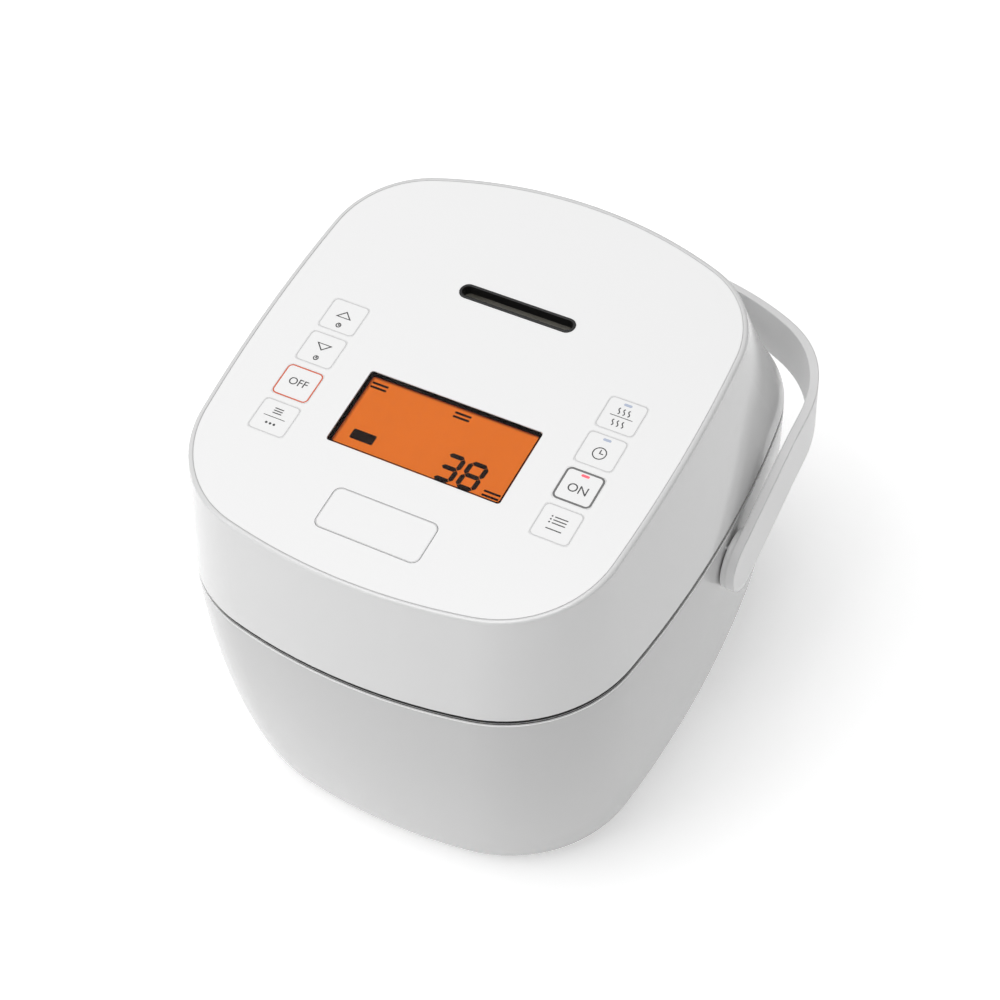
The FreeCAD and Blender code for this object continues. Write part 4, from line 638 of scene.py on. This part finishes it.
for key in KEYS:
    low, high = panel_extent(key)
    finish, thick, tall = OUTLINES.get(key, PLAIN_OUTLINE)
    u = (low.x + high.x) / 2
    v = (low.y + high.y) / 2
    width = (high.x - low.x) / MM - KEY_FLANGE
    depth = (high.y - low.y) / MM - KEY_FLANGE
    KEY_PLACES[key] = panel_matrix(u, v, high.z)
    outline = bmesh.new()
    bead(outline, width - thick, depth - thick, KEY_CORNER, thick, tall)
    finish_piece("outline_" + key, outline, KEY_PLACES[key], finish, key + "_cap")
    film = bmesh.new()
    film_outer = key_loop(width, depth, FILM_REACH)
    film_inner = key_loop(width, depth, FILM_CLEARANCE)
    band(film, film_outer, film_inner, -FILM_DEPTH, FILM_PROUD)
    finish_piece("film_" + key, film, panel_matrix(u, v, PANEL_FACE), PANEL_WHITE, "lid")
print("outlined", len(KEY_PLACES), "keys of", round(width, 2), "x", round(depth, 2), "mm, proud by",
      round((high.z - PANEL_FACE) / MM, 3))

# %% [markdown]
# ## The release button's outline and the panel's seam
# The big button has the same kind of line around it. The panel itself sits in the lid with a hair of a
# gap, which a grey ring fills so that it reads as a fine line. The panel's outline bulges outwards
# everywhere, so the convex hull of its vertices gives the loop.

# %% Button outline and panel seam
BUTTON_CORNER = 3.6
BUTTON_LINE = 0.5
BUTTON_LINE_TALL = 0.05
PANEL_BAND = 1.2
SEAM_INNER = 0.04
SEAM_OUTER = 0.34
SEAM_TOP = -0.12
SEAM_BOTTOM = -0.9


def hull_loop(points):
    flat = [Vector((p.x, p.y)) for p in points]
    return [flat[i] for i in geometry.convex_hull_2d(flat)]


def grown(loop, distance):
    """Moves every point of a counter-clockwise loop outwards."""
    moved = []
    for i, p in enumerate(loop):
        along = (loop[(i + 1) % len(loop)] - loop[i - 1]).normalized()
        moved.append((p.x + along.y * distance, p.y - along.x * distance))
    return moved


low, high = panel_extent("release_button")
button_width = (high.x - low.x) / MM - KEY_FLANGE - BUTTON_LINE
button_depth = (high.y - low.y) / MM - KEY_FLANGE - BUTTON_LINE
button_place = panel_matrix((low.x + high.x) / 2, (low.y + high.y) / 2, high.z)
button_line = bmesh.new()
bead(button_line, button_width, button_depth, BUTTON_CORNER, BUTTON_LINE, BUTTON_LINE_TALL)
finish_piece("outline_release_button", button_line, button_place, PALE_INK, "release")
flat_points = [p / MM for p in panel_points("top_panel")]
panel_loop = hull_loop([p for p in flat_points if p.z > PANEL_FACE / MM - PANEL_BAND])
seam = bmesh.new()
band(seam, grown(panel_loop, SEAM_OUTER), grown(panel_loop, SEAM_INNER), SEAM_BOTTOM, SEAM_TOP)
finish_piece("panel_seam", seam, panel_matrix(0, 0, PANEL_FACE), SEAM_GREY, "lid")
print("panel loop of", len(panel_loop), "points")

# %% [markdown]
# ## The dark line under the lid
# The gap under the lid is shade, and a black ring set back from the outline paints that shade as a crisp
# line all round. It sits on the body's top edge and stays below the lid, so the lid lifts off it freely. A
# grey line splits it in two, and a white lip under it is a painted highlight along the body's round edge.
# Each of the three is a ring along the body's outline: how far out it starts and ends, its lowest and
# highest level in millimetres, its finish and its slot.

# %% Seam rings
EDGE_BAND = 3.0
SEAM_RINGS = (
    # A black ring: painted shade, the shadow in the gap under the lid.
    ("seam_shadow_ring", -0.6, -1.5, 130.8, 133.2, GAP_SHADOW_BLACK, "black_plastic"),
    ("seam_line", -0.5, -0.7, 132.0, 132.25, SEAM_GREY, "grey_plastic"),
    # A white ring: a painted highlight along the body's round edge.
    ("seam_highlight_ring", -0.03, -0.7, 130.4, 131.2, PANEL_WHITE, "white_shell"),
)
body_points = [v.co / MM for v in NODES["body_shell"].data.vertices]
body_top = max(p.z for p in body_points)
body_loop = hull_loop([p for p in body_points if p.z > body_top - EDGE_BAND])
for name, outer, inner, bottom, top, finish, slot in SEAM_RINGS:
    ring = bmesh.new()
    band(ring, grown(body_loop, outer), grown(body_loop, inner), bottom, top)
    finish_piece(name, ring, Matrix.Scale(MM, 4), finish, "body")
print("seam loop of", len(body_loop), "points, body top at", round(body_top, 2))

# %% [markdown]
# ## Drawing the symbols
# The marks are generic: triangles for up and down, a clock for the timer, waves for keeping warm, lines
# for the menus, and plain ON and OFF. A few strokes make all of them: a hollow triangle, a clock, a bar,
# a row of waves and a word. Only the words need a font, and Blender's own is plain enough.

# %% Strokes of the symbols
LINE = 0.5
FINE_LINE = 0.32
TRIANGLE_SIZE = 4.0
TRIANGLE_INSET = 2.3
TRIANGLE_RISE = 1.4
LONG_HAND = 0.62
SHORT_HAND = 0.5
BAR_ROUND = 0.45
BAR_ARC_STEPS = 3
WAVE_PLACES = (-2.4, 0, 2.4)
WAVE_STEPS = 12
WAVE_SWING = 0.5
WAVE_TALL = 3.4
WELD = 0.0005


def draw_triangle(bm, up):
    way = 1 if up else -1
    side = way * TRIANGLE_SIZE
    outer = [(0, side * 0.5), (-side, -side * 0.5), (side, -side * 0.5)]
    shrink = 1 - TRIANGLE_INSET * LINE / TRIANGLE_SIZE
    centre_y = -side / 6
    inner = [(x * shrink, centre_y + (y - centre_y) * shrink) for x, y in outer]
    band(bm, shifted(outer, 0, TRIANGLE_RISE), shifted(inner, 0, TRIANGLE_RISE))


def draw_clock(bm, x, y, radius):
    band(bm, shifted(circle(radius), x, y), shifted(circle(radius - LINE), x, y))
    prism(bm, ribbon([(x, y + radius * LONG_HAND), (x, y), (x + radius * SHORT_HAND, y)], LINE))


def draw_bar(bm, x, y, length, thick=LINE):
    prism(bm, shifted(rounded(length, thick, thick * BAR_ROUND, BAR_ARC_STEPS), x, y))


def draw_dot(bm, x, y, radius, steps):
    prism(bm, shifted(circle(radius, steps), x, y))


def draw_waves(bm, y):
    for x in WAVE_PLACES:
        path = []
        for k in range(WAVE_STEPS + 1):
            swing = WAVE_SWING * math.sin(2 * math.pi * k / WAVE_STEPS)
            path.append((x + swing, y - WAVE_TALL / 2 + WAVE_TALL * k / WAVE_STEPS))
        prism(bm, ribbon(path, LINE))


def draw_word(bm, word, size, x, y):
    """Plain lettering from Blender's own font, turned into a mesh and centred."""
    curve = bpy.data.curves.new("word", "FONT")
    curve.body = word
    curve.size = size
    curve.align_x = "CENTER"
    curve.align_y = "CENTER"
    curve.extrude = (MARK_HEIGHT + MARK_SINK) / 2
    holder = bpy.data.objects.new("word", curve)
    bpy.context.scene.collection.objects.link(holder)
    bpy.context.view_layer.update()
    mesh = bpy.data.meshes.new_from_object(holder.evaluated_get(bpy.context.evaluated_depsgraph_get()))
    mesh.transform(Matrix.Translation((x, y, (MARK_HEIGHT - MARK_SINK) / 2)))
    bm.from_mesh(mesh)
    bmesh.ops.remove_doubles(bm, verts=bm.verts, dist=WELD)
    bpy.data.objects.remove(holder)
    bpy.data.meshes.remove(mesh)


print("strokes ready")

# %% [markdown]
# ## A symbol on each key
# Each symbol is drawn once in millimetres around the middle of its key and rides on that key's cap.

# %% Key symbols
STEP_CLOCK = (0, -5.0, 1.35)
RULE_LENGTH = 11.0


def step_symbol(bm, up):
    draw_triangle(bm, up)
    draw_clock(bm, *STEP_CLOCK)


def menu_symbol(bm):
    draw_bar(bm, 0, 0, RULE_LENGTH, FINE_LINE)
    for y in (4.9, 3.6, 2.3):
        draw_bar(bm, 0, y, 4.6)
    for x in (-2.0, 0, 2.0):
        draw_dot(bm, x, -3.6, 0.62, 20)


def warm_symbol(bm):
    draw_bar(bm, 0, -0.6, RULE_LENGTH, FINE_LINE)
    draw_waves(bm, 2.3)
    draw_waves(bm, -4.2)


def course_symbol(bm):
    for y in (3.2, 1.6, 0):
        draw_bar(bm, 0.8, y, 6.4)
        draw_dot(bm, -3.6, y, 0.4, 16)
    draw_bar(bm, 0, -3.2, 7.6)


SYMBOLS = {
    "key_up": lambda bm: step_symbol(bm, True),
    "key_down": lambda bm: step_symbol(bm, False),
    "key_cancel": lambda bm: draw_word(bm, "OFF", 5.6, 0, 0.2),
    "key_menu": menu_symbol,
    "key_keep_warm": warm_symbol,
    "key_timer": lambda bm: draw_clock(bm, 0, -1.2, 3.3),
    "key_cook": lambda bm: draw_word(bm, "ON", 6.2, 0, -1.2),
    "key_course": course_symbol,
}
for key, draw in SYMBOLS.items():
    drawing = bmesh.new()
    draw(drawing)
    finish_piece("symbol_" + key, drawing, KEY_PLACES[key], DARK_INK, key + "_cap")
print("symbols on", len(SYMBOLS), "keys")

# %% [markdown]
# ## Key lamps
# The lamps are small round-ended bars near the rear edge of three keys. They shine through the film, so a
# thin prism on the key's face shows them well enough, without a hole in the key.

# %% Key lamps
LAMP_UP = 6.4
LAMP_SIZE = (3.9, 1.3, 0.62)
LAMPS = {"key_keep_warm": LAMP_OFF, "key_timer": LAMP_OFF, "key_cook": LAMP_LIT}
for key, finish in LAMPS.items():
    lamp = bmesh.new()
    prism(lamp, shifted(rounded(*LAMP_SIZE), 0, LAMP_UP))
    finish_piece("lamp_" + key, lamp, KEY_PLACES[key], finish, key + "_cap")
print("lamps on", len(LAMPS), "keys")

# %% [markdown]
# ## The display
# The display is a segment panel lit from behind in amber. A light guide on the module fills the black well
# to just under the clear window. Its colour darkens to red-brown along the rear and left edges: painted
# shade, where the well's walls shadow the display. That is a ramp over the panel's own u and v, not over
# the picture, so it stays in place from every side.

# %% Display glow
WELL_WALL = 1.3
GUIDE_DROP = 0.5
GUIDE_CORNER = 1.0
# The widths and the dark colour paint the shade that the well's rear and left walls cast.
REAR_WELL_SHADE = 0.0015
LEFT_WELL_SHADE = 0.002
CLOUD_SCALE = 30.0
CLOUD_STRENGTH = 0.15
GLOW_STRENGTH = 0.6
GLOW_WELL_SHADE = (0.12, 0.015, 0.002, 1)
GLOW_AMBER = (0.52, 0.115, 0.012, 1)
MODULE_TOP = panel_extent("display_module")[1].z
WINDOW_LOW, WINDOW_HIGH = panel_extent("display_window")
GUIDE_LOW = WINDOW_LOW + Vector((WELL_WALL, WELL_WALL, -GUIDE_DROP)) * MM
GUIDE_HIGH = WINDOW_HIGH - Vector((WELL_WALL, WELL_WALL, 0)) * MM
GUIDE_U = (GUIDE_LOW.x + GUIDE_HIGH.x) / 2
GUIDE_V = (GUIDE_LOW.y + GUIDE_HIGH.y) / 2
GUIDE_SIZE = (GUIDE_HIGH - GUIDE_LOW) / MM


def shade_ramp(tree, value, start, end):
    ramp = add(tree, "MapRange", {
        "Value": value, "From Min": start, "From Max": end, "To Min": 0.0, "To Max": 1.0})
    ramp.interpolation_type = "SMOOTHSTEP"
    return ramp.outputs[0]


def display_glow():
    material, tree, shader = new_finish("display glow")
    place = add(tree, "TexCoord").outputs["Object"]
    flat = add(tree, "Mapping", {"Vector": place, "Rotation": (-PANEL_LEAN, 0, 0)}).outputs["Vector"]
    axes = add(tree, "SeparateXYZ", {"Vector": flat})
    # Painted shade along the well's rear and left walls.
    rear = shade_ramp(tree, axes.outputs["Y"], GUIDE_HIGH.y, GUIDE_HIGH.y - REAR_WELL_SHADE)
    left = shade_ramp(tree, axes.outputs["X"], GUIDE_LOW.x, GUIDE_LOW.x + LEFT_WELL_SHADE)
    lit = math_node(tree, "MULTIPLY", rear, left)
    noise = add(tree, "TexNoise", {"Vector": flat, "Scale": CLOUD_SCALE, "Detail": 1.0}).outputs["Fac"]
    centred = math_node(tree, "SUBTRACT", noise, NOISE_MIDDLE)
    cloud = math_node(tree, "MULTIPLY", centred, CLOUD_STRENGTH)
    ramp = add(tree, "ValToRGB", {"Fac": math_node(tree, "ADD", lit, cloud)})
    ramp.color_ramp.elements[0].color = GLOW_WELL_SHADE
    ramp.color_ramp.elements[1].color = GLOW_AMBER
    feed(tree, ramp.outputs["Color"], shader.inputs["Base Color"])
    feed(tree, ramp.outputs["Color"], shader.inputs["Emission Color"])
    shader.inputs["Emission Strength"].default_value = GLOW_STRENGTH
    shader.inputs["Roughness"].default_value = 0.5
    shader.inputs["Specular IOR Level"].default_value = 0.1
    return material


DISPLAY_GLOW = display_glow()
guide = bmesh.new()
guide_loop = rounded(GUIDE_SIZE.x, GUIDE_SIZE.y, GUIDE_CORNER)
prism(guide, guide_loop, 0.0, (GUIDE_LOW.z - MODULE_TOP) / MM)
guide_place = panel_matrix(GUIDE_U, GUIDE_V, MODULE_TOP)
finish_piece("light_guide", guide, guide_place, DISPLAY_GLOW, "lid")
print("light guide", [round(v, 1) for v in GUIDE_SIZE])

# %% [markdown]
# ## The window
# A clear moulded window: full transmission, a smooth face, and a faint waviness that bends reflections. A
# low index of refraction keeps those reflections from veiling the display.

# %% Window glass
WAVINESS_SCALE = 25.0
WAVINESS_RELIEF = 2e-5
WINDOW_IOR = 1.2


def window_glass():
    material, tree, shader = new_finish("clear window")
    place = add(tree, "TexCoord").outputs["Object"]
    waves = add(tree, "TexNoise", {"Vector": place, "Scale": WAVINESS_SCALE, "Detail": 1.0}).outputs["Fac"]
    feed(tree, relief(tree, waves, WAVINESS_RELIEF), shader.inputs["Normal"])
    shader.inputs["Base Color"].default_value = (1, 1, 1, 1)
    shader.inputs["Transmission Weight"].default_value = 1.0
    shader.inputs["Roughness"].default_value = 0.02
    shader.inputs["IOR"].default_value = WINDOW_IOR
    return material


CLEAR_WINDOW = window_glass()
print("window ready")

# %% [markdown]
# ## Segments on the display
# A seven-segment digit is seven hexagons. Each is drawn upright and then leaned to the right, as on most
# displays. Small bars and a filled badge stand where a cooker shows its settings.

# %% Display marks
DIGIT_W = 7.65
DIGIT_H = 13.2
SEGMENT = 2.3
SEGMENT_GAP = 0.12
DIGIT_LEAN = 0.06
LIT_SEGMENTS = {"3": "abgcd", "8": "abcdefg"}
DIGIT_PLACES = {"3": (9.5, -18.1), "8": (20.9, -18.1)}
BADGE_SIZE = (11.7, 5.3, 0.8)
BADGE_PLACE = (-29.7, -12.1)
SETTING_SIZE = (8.2, 1.1, 0.4)
SETTING_STEP = 1.1
SETTING_PLACES = ((-36.8, 15.0), (5.6, 15.2), (37.4, -16.9))
SEGMENT_INK = ink("segment ink", (0.012, 0.004, 0.002), 0.5, gloss=0.1)


def pointed_bar(start, end):
    """A level bar along x from start to end, with pointed ends."""
    half = SEGMENT / 2
    a = start + SEGMENT_GAP
    b = end - SEGMENT_GAP
    return [(a, 0), (a + half, -half), (b - half, -half), (b, 0), (b - half, half), (a + half, half)]


def level_bar(y):
    return [(px, y + py) for px, py in pointed_bar(0, DIGIT_W)]


def upright_bar(x, start, end):
    return [(x - py, px) for px, py in pointed_bar(start, end)]


def digit(bm, figure, x, y):
    middle = DIGIT_H / 2
    bars = {
        "a": level_bar(DIGIT_H), "g": level_bar(middle), "d": level_bar(0),
        "b": upright_bar(DIGIT_W, middle, DIGIT_H), "c": upright_bar(DIGIT_W, 0, middle),
        "e": upright_bar(0, 0, middle), "f": upright_bar(0, middle, DIGIT_H),
    }
    for label in LIT_SEGMENTS[figure]:
        prism(bm, [(x + px + DIGIT_LEAN * py, y + py) for px, py in bars[label]])


marks = bmesh.new()
for figure, (x, y) in DIGIT_PLACES.items():
    digit(marks, figure, x, y)
prism(marks, shifted(rounded(*BADGE_SIZE), *BADGE_PLACE))
for x, y in SETTING_PLACES:
    for step in (-SETTING_STEP, SETTING_STEP):
        prism(marks, shifted(rounded(*SETTING_SIZE), x, y + step))
marks_place = panel_matrix(GUIDE_U, GUIDE_V, GUIDE_LOW.z)
finish_piece("display_marks", marks, marks_place, SEGMENT_INK, "lid")
print("display marks", len(DIGIT_PLACES), "digits and", len(SETTING_PLACES), "settings")

# %% [markdown]
# ## Water lines in the pot
# Inside a rice pot there are short lines for the water level, one above the other. They are thin strips
# on the curved wall, made from points on the wall's radius.

# %% Water lines
POT_WALL_RADIUS = 0.0902
STRIP_PROUD = 0.0001
STRIP_SINK = 0.00005
STRIP_STEPS = 12
STRIP_TALL = 0.0007
STRIP_BEARING = math.radians(90)
LONG_STRIP = math.radians(14)
SHORT_STRIP = math.radians(9)
LEVELS = (0.055, 0.066, 0.077, 0.088, 0.099)
SCALE_INK = moulded("scale ink", (0.62, 0.61, 0.58), 0.5, edge=INK_EDGE)
pot_low, pot_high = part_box("inner_pot")
POT_MIDDLE = (pot_low + pot_high) / 2


def wall_strip(bm, spread, z):
    inner = POT_WALL_RADIUS - STRIP_PROUD
    outer = POT_WALL_RADIUS + STRIP_SINK
    top = z + STRIP_TALL
    rows = []
    for radius, height in ((inner, z), (inner, top), (outer, top), (outer, z)):
        row = []
        for k in range(STRIP_STEPS + 1):
            a = STRIP_BEARING + spread * (k / STRIP_STEPS - 0.5)
            row.append(bm.verts.new((radius * math.cos(a), radius * math.sin(a), height)))
        rows.append(row)
    for a, b in zip(rows, rows[1:] + rows[:1]):
        for k in range(STRIP_STEPS):
            bm.faces.new((a[k], a[k + 1], b[k + 1], b[k]))
    bm.faces.new([row[0] for row in rows])
    bm.faces.new([row[-1] for row in rows])


scale_lines = bmesh.new()
for i, level in enumerate(LEVELS):
    wall_strip(scale_lines, SHORT_STRIP if i % 2 else LONG_STRIP, level)
pot_place = Matrix.Translation((POT_MIDDLE.x, POT_MIDDLE.y, 0))
finish_piece("water_lines", scale_lines, pot_place, SCALE_INK, "body")
print("water lines", len(LEVELS))

# %% [markdown]
# ## A wound spring under the sensor
# The imported model holds the sensor's spring as a plain tube. Here a round wire is wound within the tube's
# outline: a helix of points with a ring of vertices about each, and the tube is hidden.

# %% Sensor spring
SPRING_TURNS = 8
SPRING_WIRE = 0.0006
TURN_STEPS = 24
WIRE_SIDES = 8


def wound_wire(bm, low, high):
    middle = (low + high) / 2
    radius = (high.x - low.x) / 2 - SPRING_WIRE
    count = SPRING_TURNS * TURN_STEPS
    step = (high.z - low.z - 2 * SPRING_WIRE) / count
    rings = []
    for k in range(count + 1):
        turn = 2 * math.pi * k / TURN_STEPS
        outward = Vector((math.cos(turn), math.sin(turn), 0))
        place = Vector((middle.x, middle.y, low.z + SPRING_WIRE + step * k)) + radius * outward
        ring = []
        for side in range(WIRE_SIDES):
            a = 2 * math.pi * side / WIRE_SIDES
            around = math.cos(a) * outward + Vector((0, 0, math.sin(a)))
            ring.append(bm.verts.new(place + SPRING_WIRE * around))
        rings.append(ring)
    for ring, following in zip(rings, rings[1:]):
        for i in range(WIRE_SIDES):
            j = (i + 1) % WIRE_SIDES
            bm.faces.new((ring[i], ring[j], following[j], following[i]))
    bm.faces.new(rings[0])
    bm.faces.new(rings[-1])


SPRING_LOW, SPRING_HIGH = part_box("sensor_spring")
wire = bmesh.new()
wound_wire(wire, SPRING_LOW, SPRING_HIGH)
spring = make_piece("sensor_wound_spring", wire, Matrix.Identity(4), STEEL)
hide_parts("sensor_spring")
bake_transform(spring)
print("spring of", SPRING_TURNS, "turns", [round(v / MM, 1) for v in SPRING_HIGH - SPRING_LOW])

# %% [markdown]
# ## Giving every node its finish
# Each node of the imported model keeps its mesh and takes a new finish. A table of names is easier to read
# and to change than a long run of assignments.

# %% Finishes on the nodes
FINISHES = {
    LID_WHITE: "lid_shell",
    BODY_WHITE_PAINTED_SHADE: "body_shell hinge_cover",
    HANDLE_WHITE_PAINTED_LIGHT: "carry_handle",
    PANEL_WHITE: "top_panel release_button " + " ".join(KEYS),
    # The rim is black as painted shade of the gap under the lid.
    GAP_SHADOW_BLACK: "body_rim",
    BASE_GREY: "base_cover power_inlet",
    INNER_GREY: "lid_base",
    HEAT_PLASTIC: "coil_holder sensor_holder steam_duct valve_housing latch_lever latch_catch",
    SATIN_BLACK: "vent_bezel fan_frame fan_rotor",
    FRAME_BLACK: "display_frame",
    SWITCH_BLACK: "key_switches board_components",
    DISPLAY_GLOW: "display_module",
    CLEAR_WINDOW: "display_window",
    FOOT_RUBBER: "rubber_feet",
    SEAL_SILICONE: "lid_gasket",
    POT_COAT: "inner_pot",
    ALUMINIUM: "lid_heater heat_sink sensor_cap pot_well",
    LID_STEEL: "inner_lid",
    STEEL: "base_screws rim_screws lid_screws board_screws handle_pins latch_pin hinge_pin hinge_brackets "
           "hinge_arms lid_spring latch_spring sensor_spring solenoid_plunger side_heater",
    CONTACT_BRASS: "inlet_pins",
    COIL_COPPER: "induction_coil",
    FERRITE: "ferrite_bars",
    BOARD_GREEN: "power_board control_board",
    SOLENOID_STEEL: "pressure_solenoid",
}
dressed = []
for finish, names in FINISHES.items():
    for name in names.split():
        NODES[name].data.materials.clear()
        NODES[name].data.materials.append(finish)
        dressed.append(name)
print("dressed", len(dressed), "left", sorted(set(NODES) - set(dressed)))

# %% [markdown]
# ## The floor
# A plain pale sheet, which glows a little so that it stays white under the soft light.

# %% Floor
FLOOR_SIZE = 8.0
TABLE_GLOW = 0.35


def pale_floor():
    material, tree, shader = new_finish("pale floor")
    skin = placed(tree, MOULDED_SKIN, {
        "Colour": (0.95, 0.95, 0.95, 1), "Drift": 0.01, "Grain": 40.0, "Roughness": 0.9, "Spread": 0.02})
    feed(tree, skin.outputs["Colour"], shader.inputs["Base Color"])
    feed(tree, skin.outputs["Roughness"], shader.inputs["Roughness"])
    feed(tree, skin.outputs["Colour"], shader.inputs["Emission Color"])
    shader.inputs["Emission Strength"].default_value = TABLE_GLOW
    shader.inputs["Specular IOR Level"].default_value = 0.0
    return material


sheet = bmesh.new()
bmesh.ops.create_grid(sheet, x_segments=1, y_segments=1, size=FLOOR_SIZE)
floor_mesh = bpy.data.meshes.new("floor")
sheet.to_mesh(floor_mesh)
sheet.free()
floor_mesh.materials.append(pale_floor())
floor = bpy.data.objects.new("floor", floor_mesh)
bpy.context.scene.collection.objects.link(floor)
print("floor", FLOOR_SIZE * 2, "m wide")

# %% [markdown]
# ## Sky and lights
# A white product on white needs light that comes from nearly everywhere, with a little less from one side
# so that the form reads. The sky is bright overhead and dim at the horizon, which shades the upright
# sides. A broad soft light stands to the front left and another hangs overhead.

# %% Sky and lights
SKY_LOW = 0.08
SKY_RISE = 0.64
LIGHT_TARGET = Vector((0, 0, 0.12))


def soft_light(name, place, size, power):
    lamp = bpy.data.lights.new(name, "AREA")
    lamp.shape = "SQUARE"
    lamp.size = size
    lamp.energy = power
    holder = bpy.data.objects.new(name, lamp)
    holder.location = place
    holder.rotation_euler = (LIGHT_TARGET - Vector(place)).to_track_quat("-Z", "Y").to_euler()
    bpy.context.scene.collection.objects.link(holder)


world = bpy.data.worlds.new("studio")
world.use_nodes = True
sky = world.node_tree
toward = add(sky, "TexCoord").outputs["Generated"]
height = add(sky, "SeparateXYZ", {"Vector": toward}).outputs["Z"]
rise = math_node(sky, "MULTIPLY", math_node(sky, "MULTIPLY", height, height), SKY_RISE)
feed(sky, math_node(sky, "ADD", rise, SKY_LOW), sky.nodes["Background"].inputs["Strength"])
sky.nodes["Background"].inputs["Color"].default_value = (1, 1, 1, 1)
bpy.context.scene.world = world
soft_light("overhead", (-0.3, -0.35, 2.2), 1.5, 23.0)
soft_light("front_left", (-1.5, -1.6, 1.3), 1.6, 13.0)
bpy.context.scene.view_settings.view_transform = "Standard"

# %% [markdown]
# ## The camera
# The camera was found by fitting the outline of the lid, the panel and the keys. It looks down on the
# front right corner from a little over a metre, with a long lens and a slight roll.

# %% Camera
AZIMUTH = math.radians(31.058)
ELEVATION = math.radians(47.578)
ROLL = math.radians(-3.242)
CAMERA_PLACE = Vector((0.40025, -0.67507, 0.95967))
LENS_MM = 86.23
SENSOR_MM = 36.0
back = Vector((math.sin(AZIMUTH) * math.cos(ELEVATION),
               -math.cos(AZIMUTH) * math.cos(ELEVATION),
               math.sin(ELEVATION)))
level = Vector((math.cos(AZIMUTH), math.sin(AZIMUTH), 0))
upward = back.cross(level)
right = math.cos(ROLL) * level + math.sin(ROLL) * upward
up = -math.sin(ROLL) * level + math.cos(ROLL) * upward
lens = bpy.data.cameras.new("camera")
lens.lens = LENS_MM
lens.sensor_width = SENSOR_MM
camera = bpy.data.objects.new("camera", lens)
camera.matrix_world = Matrix.Translation(CAMERA_PLACE) @ Matrix((right, up, back)).transposed().to_4x4()
bpy.context.scene.collection.objects.link(camera)
bpy.context.scene.camera = camera
print("camera at", [round(v, 3) for v in camera.location])
